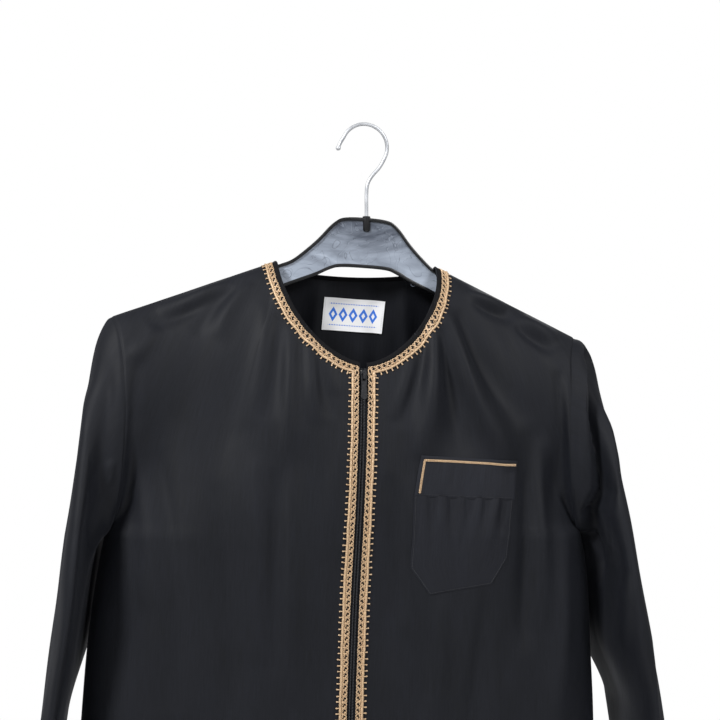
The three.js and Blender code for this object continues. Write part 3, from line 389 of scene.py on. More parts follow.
def neck_edge(face, sign, angle, inset=0.0):
    """Neck edge as x, y and z: angle 0 is the shoulder, a quarter turn is the centre."""
    across, down = np.cos(angle), np.sin(angle)
    half, top = NECK["half_width"], NECK["z"]
    if face == "front":
        bent = np.maximum(down, 0) ** NECK["power"]
        x = half * np.maximum(across, 0) ** NECK["power"]
        drop = NECK["front_drop"] * bent
        depth = NECK["front_y"] * round_share(NECK["front_round"] * bent)
        depth = depth / round_share(NECK["front_round"])
    else:
        x = half * across
        drop = NECK["back_drop"] * down
        depth = NECK["back_y"] * down
    shoulder = NECK["x"] + sign * half
    slope = (ridge_z(shoulder + sign * inset) - ridge_z(shoulder)) * across ** 2
    z = top - NECK["tilt"] * sign * half * across + slope - drop - inset * down
    return NECK["x"] + sign * (x + inset * across), depth, z


def armhole(face, side, share):
    """Armhole seam as x, y and z: share 0 is the shoulder tip, 1 is the underarm."""
    swell = 2 * np.sqrt(np.maximum(share * (1 - share), 0))
    depth = -ARMHOLE["front_depth"] if face == "front" else ARMHOLE["back_depth"]
    x = mix(side["tip_x"], side["under_x"], share) - side["sign"] * side["inset"] * swell
    return x, depth * swell, mix(ridge_z(side["tip_x"]), side["under_z"], share)


def flute_lift(turn, z):
    lift = 0
    for flute in FLUTES:
        away = np.abs(turn - flute["turn"])
        near = np.minimum(away, 1 - away) / flute["width"]
        grow = smooth((flute["from"] - z) / (flute["from"] - HEM_Z)) ** 0.8
        lift = lift + flute["rise"] * grow * np.exp(-near * near)
    return lift


def fold_lift(face, sign, offset, z):
    lift = 0
    for fold in FOLDS:
        if fold["face"] == face and fold["side"] == sign:
            t = np.clip((z - fold["from"]) / (fold["to"] - fold["from"]), 0, 1)
            away = (offset - mix(fold["top"], fold["bottom"], t)) / fold["width"]
            lift = lift + fold["rise"] * np.sin(np.pi * t) ** 1.3 * np.exp(-away * away)
    return lift


def ring(face, side, share, drop):
    """Level section of the body below the underarm: share 0 is the centre, 1 the side seam."""
    sign, front = side["sign"], face == "front"
    angle = share * np.pi / 2
    z = mix(CHEST["z"], HEM_Z, drop)
    turn = sign * share / 4 if front else sign * (0.5 - share / 4)
    level = (side["under_z"] - CHEST["z"]) * np.sin(angle)
    below = CHEST["z"] - z
    width = ((side["under_x"] - centre_x(CHEST["z"])) * sign
             + FLARE["hem"] * np.maximum(drop, 0) ** FLARE["power"]
             + side["quick"] * (1 - np.exp(-below / FLARE["quick_over"])))
    eased = below - FLARE["ease_over"] * (1 - np.exp(-below / FLARE["ease_over"]))
    depth = (-(CHEST["front_depth"] + FLARE["front_slope"] * eased) if front
             else CHEST["back_depth"] + FLARE["back_slope"] * eased)
    edge = 0
    if front:
        edge = mix(0.15, ZIP["half"], smooth((z - ZIP_FOOT["seam"]) / ZIP_FOOT["over"]))
    lift = flute_lift((turn + 1) % 1, z)
    x = edge + (width - edge) * signed_power(np.sin(angle), CHEST["power"])
    x = x + lift * np.sin(angle)
    y = depth * signed_power(np.maximum(np.cos(angle), 0), CHEST["power"])
    y = y + (-1 if front else 1) * lift * np.cos(angle)
    return centre_x(z) + sign * x, y, z + level * (1 - drop)


NECK_SHARE = 6 / 14


def neck_angle(share):
    return (1 - np.minimum(share / NECK_SHARE, 1)) ** NECK["crowd"] * np.pi / 2


def top_edge(face, side, share):
    """Top edge of a panel: from the centre round the neck, then out along the shoulder."""
    sign = side["sign"]
    x, y, z = neck_edge(face, sign, neck_angle(share))
    if face == "front":
        centre = centre_x(z)
        x = centre + sign * np.maximum(sign * (x - centre), ZIP["half"])
    neck = neck_edge(face, sign, 0.0)
    t = np.clip((share - NECK_SHARE) / (1 - NECK_SHARE), 0, 1)
    out = mix(neck[0], side["tip_x"], t)
    settle = mix(neck[2] - ridge_z(neck[0]), 0, smooth(t * 3))
    on_neck = share <= NECK_SHARE
    return (np.where(on_neck, x, out), np.where(on_neck, y, 0),
            np.where(on_neck, z, ridge_z(out) + settle))


def rounded_depth(top_y, low_y, down):
    """Depth of a panel between its top edge and the underarm level, round at the shoulder."""
    ratio = np.minimum(np.abs(top_y / np.where(low_y == 0, 1, low_y)), 0.95)
    start = np.where(np.abs(top_y) < 0.01, 0, 1 - np.sqrt(1 - ratio * ratio))
    begun = round_share(start)
    share = (round_share(mix(start, 1, down)) - begun) / (1 - begun)
    return mix(top_y, low_y, share)


def panel_point(face, side, across, down):
    """Middle surface of a half panel. across: 0 centre to 1 side. down: 0 top, 1 underarm
    level, 2 hem."""
    across, down = np.broadcast_arrays(np.asarray(across, float), np.asarray(down, float))
    upper = np.clip(down, 0, 1)
    top = top_edge(face, side, across)
    low = ring(face, side, across, 0.0)
    centre_top = top_edge(face, side, np.array(0.0))
    centre_low = ring(face, side, 0.0, 0.0)
    arm = armhole(face, side, upper)
    arm_top, arm_low = armhole(face, side, 0.0), armhole(face, side, 1.0)
    centre_z = mix(centre_top[2], centre_low[2], upper)
    edge = side["sign"] * ZIP["half"] if face == "front" else 0
    settle = centre_top[0] - centre_x(centre_top[2]) - edge
    centre = (centre_x(centre_z) + edge + settle * (1 - upper), None, centre_z)
    coons = [
        mix(top[k], low[k], upper)
        + (1 - across) * (centre[k] - mix(centre_top[k], centre_low[k], upper))
        + across * (arm[k] - mix(arm_top[k], arm_low[k], upper))
        for k in (0, 2)
    ]
    reach = mix(ARMHOLE["reach_top"], ARMHOLE["reach_low"], upper ** 3)
    depth = rounded_depth(top[1], low[1], upper) + across ** reach * arm[1]
    skirt = ring(face, side, across, np.clip(down - 1, 0, 1))
    below = down > 1
    x = np.where(below, skirt[0], coons[0])
    y = np.where(below, skirt[1], depth)
    z = np.where(below, skirt[2], coons[1])
    offset = side["sign"] * (x - centre_x(z))
    outward = -1 if face == "front" else 1
    y = y + outward * fold_lift(face, side["sign"], offset, z) * np.minimum(1, down * 4)
    return xyz(x, y, z)


def crease_lift(rows, x, z):
    """Rise of the listed creases at flat places."""
    lift = np.zeros(np.shape(x))
    for row in rows:
        run = np.array([row["x1"] - row["x0"], row["z1"] - row["z0"]], float)
        length = np.hypot(*run)
        along, aside = run / length, np.array([-run[1], run[0]]) / length
        t = ((x - row["x0"]) * along[0] + (z - row["z0"]) * along[1]) / length
        off = (x - row["x0"]) * aside[0] + (z - row["z0"]) * aside[1]
        held = np.clip(t, 0, 1)
        off = off - row["bow"] * 4 * held * (1 - held)
        width = np.where(off < 0, row["left"], row["right"]) * (0.8 + 0.5 * held)
        past = (t - held) * length / row["left"]
        fade = np.sin(np.pi * np.clip(0.06 + 0.94 * t, 0, 1)) ** 0.7
        lift += row["rise"] * fade * np.exp(-(off / width) ** 2 - past ** 2)
    return CREASE_GAIN * lift


def rumple(x, z):
    """Faint unevenness of hanging cloth, long down the cloth and short across it."""
    wide = np.sin(x / 19 + 1.4 * np.sin(z / 83)) * np.sin(z / 71 + 0.8 * np.sin(x / 37))
    fine = np.sin(x / 8.3 + 1.1 * np.sin(z / 47 + 2)) * np.sin(z / 31 + x / 57)
    return RUMPLE_WIDE * wide + RUMPLE_FINE * fine


# ------------------------------------------------------------------ meshes


def add_object(name, mesh, material, body=GARMENT, replaces=()):
    piece = bpy.data.objects.new(name, mesh)
    bpy.context.scene.collection.objects.link(piece)
    mesh.materials.append(material)
    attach(piece, body)
    if replaces:
        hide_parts(*replaces)
    return piece


def make_mesh(name, points, faces, uv=None, sharp=50):
    """Mesh from points in millimetres, with smooth faces and optional flat coordinates."""
    mesh = bpy.data.meshes.new(name)
    mesh.from_pydata((np.asarray(points, float) * MM).tolist(), [], faces)
    mesh.polygons.foreach_set("use_smooth", np.ones(len(mesh.polygons), bool))
    if uv is not None:
        layer = mesh.uv_layers.new(name="flat")
        index = np.zeros(len(mesh.loops), np.int32)
        mesh.loops.foreach_get("vertex_index", index)
        layer.data.foreach_set("uv", (np.asarray(uv, np.float32) * MM)[index].ravel())
    if sharp:
        mesh.set_sharp_from_angle(angle=math.radians(sharp))
    mesh.update()
    return mesh


def grid_normals(points, outward):
    """Normals of a grid (columns, rows, 3), all on the side of a rough outward direction."""
    along = np.gradient(points, axis=0)
    down = np.gradient(points, axis=1)
    normals = unit(np.cross(along, down))
    facing = np.sign(np.sum(normals * outward, axis=-1).mean())
    return normals * facing


def shell(name, points, normals, low, high, uv, closed=False):
    """Closed wall between two offsets from a grid of points."""
    columns, rows = points.shape[:2]
    walls = [points + normals * np.asarray(side)[..., None] for side in (high, low)]
    vertices = np.concatenate([wall.reshape(-1, 3) for wall in walls])
    inner = columns * rows
    spans = columns if closed else columns - 1
    i, j = np.meshgrid(np.arange(spans), np.arange(rows - 1), indexing="ij")
    after = (i + 1) % columns
    a, b = i * rows + j, i * rows + j + 1
    c, d = after * rows + j + 1, after * rows + j
    outer = np.stack([a, b, c, d], -1).reshape(-1, 4)
    faces = [outer, outer[:, ::-1] + inner]
    k = np.arange(spans)
    following = (k + 1) % columns
    for row, turned in ((0, False), (rows - 1, True)):
        p, q = k * rows + row, following * rows + row
        rim = np.stack([p, q, q + inner, p + inner], -1)
        faces.append(rim[:, ::-1] if turned else rim)
    if not closed:
        m = np.arange(rows - 1)
        for column, turned in ((0, True), (columns - 1, False)):
            p, q = column * rows + m, column * rows + m + 1
            rim = np.stack([p, q, q + inner, p + inner], -1)
            faces.append(rim[:, ::-1] if turned else rim)
    faces = np.concatenate(faces)
    first = vertices[outer[len(outer) // 2]]
    face_normal = np.cross(first[1] - first[0], first[2] - first[0])
    if face_normal @ normals.reshape(-1, 3)[outer[len(outer) // 2][0]] < 0:
        faces = faces[:, ::-1]
    flat = np.concatenate([uv.reshape(-1, 2)] * 2)
    return make_mesh(name, vertices, faces.tolist(), flat)


def tube(path, normals, radius, sides=6):
    """Vertices and faces of a closed tube along a path, set out from the given normals."""
    path = np.asarray(path, float)
    tangent = unit(np.gradient(path, axis=0))
    aside = unit(np.cross(normals, tangent))
    above = unit(np.cross(tangent, aside))
    radius = np.broadcast_to(radius, len(path))[:, None, None]
    angle = 2 * np.pi * np.arange(sides) / sides
    round_ = (np.cos(angle)[None, :, None] * aside[:, None]
              + np.sin(angle)[None, :, None] * above[:, None])
    rings = path[:, None] + radius * round_
    count = len(path)
    caps = [list(range(sides))[::-1], [(count - 1) * sides + j for j in range(sides)]]
    return rings.reshape(-1, 3), ring_quads(count, sides).tolist() + caps


def joined(parts):
    """Vertices and faces of several tubes as one list."""
    points, faces, base = [], [], 0
    for vertices, polygons in parts:
        points.append(vertices)
        faces += [[index + base for index in polygon] for polygon in polygons]
        base += len(vertices)
    return np.concatenate(points), faces


# ------------------------------------------------------------------ body panels

OUTWARD = {"front": np.array([0.0, -1.0, 0.0]), "back": np.array([0.0, 1.0, 0.0])}


def edged(count, start, stop, near_start=True, near_stop=True):
    """Even shares with a few extra ones close to the ends, where the cloth dips to a seam."""
    shares = list(np.linspace(start, stop, count))
    steps = np.array([0.7, 1.6, 2.8]) / PANEL_SPAN
    if near_start:
        shares += list(start + steps)
    if near_stop:
        shares += list(stop - steps)
    return np.unique(np.round(shares, 6))


def column_shares():
    neck = edged(NECK_COLUMNS, 0.0, NECK_SHARE, near_stop=False)
    shoulder = edged(SHOULDER_COLUMNS, NECK_SHARE, 1.0, near_start=False)
    return np.unique(np.concatenate([neck, shoulder]))


def row_shares():
    upper = 1 - np.cos(np.pi / 2 * np.linspace(0, 1, UPPER_ROWS))
    chest = np.linspace(1, CHEST_END, CHEST_ROWS)[1:]
    skirt = np.linspace(CHEST_END, SKIRT_END, SKIRT_ROWS)[1:]
    hem = np.linspace(SKIRT_END, 2, HEM_ROWS)[1:]
    return np.concatenate([upper, chest, skirt, hem])


COLUMN = column_shares()
ROW = row_shares()
NEWTON_STEPS = 30


class Panel:
    """One half of the front or the back: its fine grid, normals and flat coordinates."""

    def __init__(self, face, side_name):
        self.face, self.side = face, SIDES[side_name]
        across, down = np.meshgrid(COLUMN, ROW, indexing="ij")
        base = panel_point(face, self.side, across, down)
        outward = OUTWARD[face]
        normals = grid_normals(base, outward)
        x, z = base[..., 0], base[..., 2]
        lift = crease_lift(CREASES[face] + SKIRT_CREASES[face], x, z) + rumple(x, z)
        steps = np.linalg.norm(np.diff(base, axis=0), axis=-1)
        width = np.concatenate([np.zeros((1, len(ROW))), np.cumsum(steps, axis=0)])
        fall = np.linalg.norm(np.diff(base, axis=1), axis=-1)
        depth = np.concatenate([np.zeros((len(COLUMN), 1)), np.cumsum(fall, axis=1)], axis=1)
        lift = lift * smooth(depth / EASE["top"]) * self.free(width, down)
        lift = lift - self.seam_dip(across, down, width, depth)
        self.points = base + normals * lift[..., None]
        self.normals = self.at_seams(grid_normals(self.points, outward))
        self.uv = np.stack([self.side["sign"] * width, z], -1)

    def free(self, width, down):
        """How freely the cloth creases: less beside its sewn sides."""
        beside = smooth((width[-1][None, :] - width) / EASE["side"])
        return mix(EASE["held"], 1, beside) * np.where(down > EASE["hem_from"], EASE["hem"], 1)

    def seam_dip(self, across, down, width, depth):
        """Dip of the cloth towards its armhole, side and shoulder seams."""
        reach = SEAM_DIP["reach"]
        side = np.exp(-((width[-1][None, :] - width) / reach) ** 2)
        shoulder = np.exp(-(depth / reach) ** 2) * (across >= NECK_SHARE)
        closed = 0
        if self.face == "front":
            below_zip = smooth((ZIP_FOOT["seam"] + 4 - self.height(down)) / 10)
            closed = np.exp(-(width / reach) ** 2) * below_zip
        return SEAM_DIP["depth"] * np.maximum(np.maximum(side, shoulder), closed)

    def height(self, down):
        return mix(CHEST["z"], HEM_Z, np.clip(down - 1, 0, 1))

    def at_seams(self, normals):
        """Normals turned into the plane of each seam, so that neighbours meet there."""
        turned = normals.copy()
        sewn = COLUMN >= NECK_SHARE - 1e-9
        turned[sewn, 0, 1] = 0
        turned[-1, ROW >= 1, 1] = 0
        turned[0, :, 0] = 0
        return unit(turned)

    def find(self, x, z, across=None, down=None):
        """Shares across and down of flat places, by Newton steps on the middle surface."""
        x, z = np.broadcast_arrays(np.asarray(x, float), np.asarray(z, float))
        if across is None:
            reach = self.side["under_x"] - centre_x(CHEST["z"])
            across = np.clip((x - centre_x(z)) / reach, 0.02, 0.98)
        if down is None:
            down = np.clip((NECK["z"] - z) / (NECK["z"] - CHEST["z"]), 0.02, 1.9)
            lower = 1 + (CHEST["z"] - z) / (CHEST["z"] - HEM_Z)
            down = np.where(z < CHEST["z"], lower, down)
        across, down = across + 0 * x, down + 0 * x
        step, most = 1e-3, 0.06
        for _ in range(NEWTON_STEPS):
            here = panel_point(self.face, self.side, across, down)
            wide = (panel_point(self.face, self.side, across + step, down) - here) / step
            deep = (panel_point(self.face, self.side, across, down + step) - here) / step
            a, b, c, d = wide[..., 0], deep[..., 0], wide[..., 2], deep[..., 2]
            det = a * d - b * c
            det = np.where(np.abs(det) < 1e-3, 1e-3, det)
            ex, ez = x - here[..., 0], z - here[..., 2]
            across = across + np.clip((d * ex - b * ez) / det, -most, most)
            down = down + np.clip((a * ez - c * ex) / det, -most, most)
            across, down = np.clip(across, 0, 0.999), np.clip(down, 0, 1.998)
        return across, down

    def place(self, x, z, across=None, down=None):
        """Points and normals of the finished cloth at flat places."""
        across, down = self.find(x, z, across, down)
        i = np.interp(across, COLUMN, np.arange(len(COLUMN)))
        j = np.interp(down, ROW, np.arange(len(ROW)))
        return looked_up(self.points, self.normals, i, j)


PANELS = {(face, name): Panel(face, name) for face in OUTWARD for name in SIDES}


def cloth_piece(node, points, normals, uv, material, closed=False):
    """Cloth of even thickness on a middle surface, in place of one of the frame's nodes."""
    low, high = np.full(points.shape[:2], -CLOTH_IN), np.full(points.shape[:2], CLOTH_OUT)
    mesh = shell(f"cloth_{node}", points, normals, low, high, uv, closed)
    return add_object(f"cloth_{node}", mesh, material, replaces=[node])


def front_piece(name, material):
    panel = PANELS["front", name]
    return cloth_piece(f"front_{name}", panel.points, panel.normals, panel.uv, material)


def back_piece(material):
    right, left = PANELS["back", "right"], PANELS["back", "left"]
    grids = []
    for attribute in ("points", "normals", "uv"):
        mirrored = getattr(right, attribute)[:0:-1]
        grids.append(np.concatenate([mirrored, getattr(left, attribute)]))
    return cloth_piece("back", *grids, material)


# ------------------------------------------------------------------ sleeves


def sleeve_out(side, drop):
    return side["bulge"] * (1 - np.exp(-drop / side["bulge_reach"])) + side["slope"] * drop


def sleeve_base(side, angle, share):
    """Middle surface of a sleeve: angle from its outer edge towards the front."""
    sign, top_z = side["sign"], ridge_z(side["tip_x"])
    rise = top_z - side["under_z"]
    drop = SLEEVE["drop"] * share
    outer_x = side["tip_x"] + sign * sleeve_out(side, drop)
    inner_drop = drop + rise * np.maximum(1 - share, 0) ** SLEEVE["tilt"]
    below = inner_drop - rise
    beside = ring("front", side, 1.0, below / (side["under_z"] - HEM_Z))[0]
    clear = SLEEVE["clear"] * (1 - np.exp(-below / SLEEVE["clear_over"]))
    free = side["tip_x"] + sign * (sleeve_out(side, inner_drop) - side["gap"])
    parted = smooth((below - SLEEVE["beside_to"]) / SLEEVE["part_over"])
    inner_x = mix(beside + sign * clear, free, parted)
    front = np.sin(angle) > 0
    start = np.where(front, ARMHOLE["front_depth"], ARMHOLE["back_depth"])
    full = np.where(front, SLEEVE["front_depth"], SLEEVE["back_depth"])
    deep = mix(start, full, smooth(share / SLEEVE["deepen"]))
    taper = smooth((share - SLEEVE["deepen"]) / (1 - SLEEVE["deepen"]))
    depth = mix(deep, SLEEVE["cuff_depth"], taper)
    low = (1 - np.cos(angle)) / 2
    fade = np.maximum(1 - share / SLEEVE["seam_share"], 0)
    x = mix(outer_x, inner_x, low) - sign * side["inset"] * np.abs(np.sin(angle)) * fade
    sewn = smooth(share / 0.05)
    x = x + sign * (0.2 + (0.4 + 3.0 * low) * sewn)
    tucked = smooth(below / SLEEVE["tuck_over"]) * (1 - parted) * ~front * (np.cos(angle) < 0)
    x = x - sign * SLEEVE["tuck"] * tucked * np.sin(2 * angle)
    z = top_z - mix(drop, inner_drop, low)
    return xyz(x, -depth * np.sin(angle), z)


def sleeve_folds(rows, angle, share):
    degrees = np.degrees(angle)
    lift = np.zeros(np.shape(angle))
    for row in rows:
        t = (share - row["from"]) / (row["to"] - row["from"])
        held = np.clip(t, 0, 1)
        turn = (degrees - mix(row["angle0"], row["angle1"], held) + 540) % 360 - 180
        width = row["width"] * (0.85 + 0.3 * held)
        fade = np.sin(np.pi * np.clip(0.08 + 0.9 * t, 0, 1)) ** 0.8
        lift += row["rise"] * fade * np.exp(-(turn / width) ** 2)
    return lift


def sleeve_creases(rows, x, z, front):
    """Rise of the creases on the front of a sleeve, placed in the front view."""
    lift = np.zeros(np.shape(x))
    for left, right, rise, line in rows:
        line_x, line_z = np.array(line, float).T
        off = x - np.interp(-z, -line_z, line_x)
        t = (line_z[0] - z) / (line_z[0] - line_z[-1])
        fade = smooth(t / 0.12) * smooth((1 - t) / 0.3)
        lift += rise * fade * np.exp(-(off / np.where(off < 0, left, right)) ** 2)
    return lift * front


SLEEVE_TURNS = 168
SLEEVE_ROWS = 150


class Sleeve:
    def __init__(self, name):
        side = SIDES[name]
        turns = 2 * np.pi * np.arange(SLEEVE_TURNS) / SLEEVE_TURNS
        shares = np.concatenate([
            np.array([0, 0.6, 1.4, 2.6, 4.2]) / SLEEVE["drop"],
            np.linspace(0.011, 1, SLEEVE_ROWS),
        ])
        angle, share = np.meshgrid(turns, shares, indexing="ij")
        base = sleeve_base(side, angle, share)
        middle = base.mean(axis=0, keepdims=True)
        outward = unit(base - middle)
        normals = self.closed_normals(base, outward)
        down = share * SLEEVE["drop"]
        lift = sleeve_folds(SLEEVE_FOLDS[name], angle, share)
        front = smooth((np.sin(angle) + 0.1) / 0.35)
        lift = lift + sleeve_creases(SLEEVE_CREASES[name], base[..., 0], base[..., 2], front)
        lift = lift + 0.8 * rumple(base[..., 1] + 40 * side["sign"], base[..., 2])
        lift = lift * smooth(down / 16)
        lift = lift - SEAM_DIP["depth"] * np.exp(-(down / SEAM_DIP["reach"]) ** 2)
        self.points = base + normals * lift[..., None]
        self.normals = self.closed_normals(self.points, outward)
        around = np.linalg.norm(np.diff(self.points, axis=0), axis=-1)
        width = np.concatenate([np.zeros((1, len(shares))), np.cumsum(around, axis=0)])
        self.uv = np.stack([width, base[..., 2]], -1)

    def closed_normals(self, points, outward):
        wrapped = np.concatenate([points[-1:], points, points[:1]])
        along = np.gradient(wrapped, axis=0)[1:-1]
        down = np.gradient(points, axis=1)
        normals = unit(np.cross(along, down))
        return normals * np.sign(np.sum(normals * outward, axis=-1).mean())


SLEEVES = {name: Sleeve(name) for name in SIDES}


def sleeve_piece(name, material):
    sleeve = SLEEVES[name]
    return cloth_piece(f"sleeve_{name}", sleeve.points, sleeve.normals, sleeve.uv, material,
                       closed=True)


# ------------------------------------------------------------------ braid and binding

BRAID = {"pitch": 5.7, "cord_at": 6.1, "cord": 1.15, "picot_end": 10.3, "picot": 0.58}
# Lace threads: loops to each pitch, then phase, turn, swing, middle, reach and radius.
BRAID_STRANDS = [
    (1, (0.0, 1.25, 1, 2.75, 2.35, 0.46)),
    (1, (2.9, 1.0, -1, 3.1, 1.9, 0.4)),
    (1, (1.6, 0.7, 1, 4.2, 0.8, 0.42)),
    (2, (0.8, 0.8, 1, 1.3, 1.0, 0.36)),
]


class Lane:
    """A strip of cloth beside an edge. t runs across it from the edge, s runs along it."""

    def __init__(self, rails, points, normals):
        self.rails, self.points, self.normals = np.asarray(rails, float), points, normals
        middle = points[len(rails) // 2]
        self.s = running(np.linalg.norm(np.diff(middle, axis=0), axis=-1))
        self.length = self.s[-1]

    def at(self, s, t):
        """Points and normals at places along and across the lane."""
        s, t = np.broadcast_arrays(np.asarray(s, float), np.asarray(t, float))
        j = np.interp(s, self.s, np.arange(len(self.s)))
        i = (t - self.rails[0]) / (self.rails[1] - self.rails[0])
        return looked_up(self.points, self.normals, i, j)

    def lifted(self, s, t, height):
        points, normals = self.at(s, t)
        return points + normals * np.asarray(height)[..., None], normals


def evenly(x, z, count):
    """Even steps along a flat line."""
    run = running(np.hypot(np.diff(x), np.diff(z)))
    at = np.linspace(0, run[-1], count)
    return np.interp(at, run, x), np.interp(at, run, z)


NECK_SAMPLES = 90
FRONT_EDGE_SAMPLES, BACK_EDGE_SAMPLES = 500, 300
MITRE_SAMPLES = 12
ZIP_SAMPLES = 160


def front_lane(side_name, first_inset, rails, foot):
    """Lane from the shoulder round the front neck, mitred at the zip, then down to a foot."""
    panel = PANELS["front", side_name]
    sign = panel.side["sign"]
    flat_x, flat_z = [], []
    level = None
    for t in rails[::-1]:
        angle = np.linspace(0, np.pi / 2, FRONT_EDGE_SAMPLES)
        x, _, z = neck_edge("front", sign, angle, first_inset + t)
        keep = ZIP["half"] + max(first_inset - TRIM["start"] + TRIM["zip_start"] + t, 0.1)
        near = sign * (x - centre_x(z))
        inside = near > keep
        last = int(np.argmin(inside)) if not inside.all() else len(x) - 1
        share = (near[last - 1] - keep) / (near[last - 1] - near[last])
        corner_z = mix(z[last - 1], z[last], share)
        corner_x = centre_x(corner_z) + sign * keep
        x, z = evenly(np.append(x[:last], corner_x), np.append(z[:last], corner_z), NECK_SAMPLES)
        if foot is not None:
            level = corner_z - 4 if level is None else level
            down = np.concatenate([np.linspace(corner_z, level, MITRE_SAMPLES)[1:],
                                   np.linspace(level, foot, ZIP_SAMPLES)[1:]])
            x = np.append(x, centre_x(down) + sign * keep)
            z = np.append(z, down)
        flat_x.insert(0, x)
        flat_z.insert(0, z)
    return Lane(rails, *panel.place(np.array(flat_x), np.array(flat_z), **neck_guess(flat_z)))


def neck_guess(flat_z):
    """First guess for places close below the neck edge."""
    z = np.array(flat_z)
    share = np.linspace(0, 1, z.shape[1])[None, :] + 0 * z
    across = np.clip(NECK_SHARE * (1 - share * z.shape[1] / NECK_SAMPLES), 0.02, 1)
    low = (NECK["z"] - NECK["front_drop"] - z) / (NECK["z"] - NECK["front_drop"] - CHEST["z"])
    return {"across": across, "down": np.clip(low, 0.02, 1.6)}


def back_lane(first_inset, rails):
    """Lane across the back neck, from the wearer's right shoulder to the left."""
    halves = []
    for side_name in ("right", "left"):
        panel = PANELS["back", side_name]
        flat = []
        for t in rails:
            angle = np.linspace(0, np.pi / 2, BACK_EDGE_SAMPLES)
            x, _, z = neck_edge("back", panel.side["sign"], angle, first_inset + t)
            flat.append(evenly(x, z, NECK_SAMPLES))
        x, z = np.array(flat)[:, 0], np.array(flat)[:, 1]
        angle = np.linspace(0, np.pi / 2, NECK_SAMPLES)[None, :] + 0 * x
        across = NECK_SHARE * (1 - (angle * 2 / np.pi) ** (1 / NECK["crowd"]))
        halves.append(panel.place(x, z, across=across, down=0.02 + 0 * x))
    points = np.concatenate([halves[0][0], halves[1][0][:, -2::-1]], axis=1)
    normals = np.concatenate([halves[0][1], halves[1][1][:, -2::-1]], axis=1)
    return Lane(rails, points, normals)


def braid_strand(lane, count, strand):
    """One looping thread of the lace between the cord and the edge."""
    phase, turn, swing, middle, reach, radius = strand
    theta = np.linspace(0, 2 * np.pi * count, count * 12 + 1)
    uneven = 1 + 0.09 * np.sin(theta * 0.37 + phase) + 0.07 * np.sin(theta * 0.23 + 1)
    s = lane.length * theta / theta[-1] + swing * turn * np.sin(theta + phase) * uneven
    t = middle - reach * np.cos(theta + phase) * uneven
    height = CLOTH_OUT + 0.5 + 0.34 * (1 + np.sin(theta + phase + 0.6))
    path, normals = lane.lifted(np.clip(s, 0, lane.length), t, height)
    return tube(path, normals, radius, 6)


def braid_picots(lane, count, rng):
    """Short picots that stand square off the cord, each with a round knot at its tip."""
    pitch = lane.length / count
    at = (np.arange(count) + 0.5) * pitch + rng.uniform(-0.35, 0.35, count)
    roots, normals = lane.lifted(at, BRAID["cord_at"] + 0 * at, CLOTH_OUT + 0.95 + 0 * at)
    ahead = lane.at(np.minimum(at + 0.4, lane.length), BRAID["cord_at"] + 0 * at)[0]
    behind = lane.at(at - 0.4, BRAID["cord_at"] + 0 * at)[0]
    aside = unit(np.cross(normals, ahead - behind))
    over = lane.at(at, BRAID["cord_at"] + 1 + 0 * at)[0] - lane.at(at, BRAID["cord_at"] + 0 * at)[0]
    aside = aside * np.sign(np.sum(aside * over, axis=-1, keepdims=True))
    reach = np.array([0, 0.2, 0.4, 0.6, 0.76, 0.88, 0.96, 1.0])
    radius = BRAID["picot"] * np.array([1.1, 0.95, 0.9, 0.95, 1.25, 1.4, 1.15, 0.5])
    parts = []
    for root, normal, away, along in zip(roots, normals, aside, unit(ahead - behind)):
        length = BRAID["picot_end"] - BRAID["cord_at"] + rng.uniform(-0.45, 0.35)
        lean = rng.uniform(-0.5, 0.5)
        path = (root + away * (length * reach)[:, None] + along * (lean * reach ** 2)[:, None]
                - normal * (0.3 * reach)[:, None])
        parts.append(tube(path, np.tile(normal, (len(reach), 1)), radius, 7))
    return parts


def braid(name, lane, material, replaces, seed):
    """Crocheted braid: a thick cord, lace towards the edge and picots away from it."""
    count = int(round(lane.length / BRAID["pitch"]))
    s = np.linspace(0.4, lane.length - 0.4, count * 7)
    beat = np.cos(2 * np.pi * s * count / lane.length)
    wander = 0.16 * np.sin(s / 9.1) + 0.14 * np.sin(s / 3.7 + 1)
    height = CLOTH_OUT + BRAID["cord"] * 0.85 + 0 * s
    path, normals = lane.lifted(s, BRAID["cord_at"] + wander, height)
    parts = [tube(path, normals, BRAID["cord"] * (1 + 0.1 * beat), 8)]
    parts += braid_picots(lane, count, np.random.default_rng(seed))
    parts += [braid_strand(lane, count * turns, strand) for turns, strand in BRAID_STRANDS]
    mesh = make_mesh(name, *joined(parts))
    return add_object(name, mesh, material, replaces=replaces)


# Section of the binding: place from the neck edge and height over the cloth's middle.
BINDING_SECTION = [
    (4.1, 0.45), (3.9, 0.95), (3.2, 1.25), (1.9, 1.35), (0.7, 1.25), (0.0, 0.95), (-0.35, 0.3),
    (-0.35, -0.3), (0.0, -0.85), (0.9, -1.15), (2.6, -1.2), (3.9, -1.0), (4.0, -0.5),
]


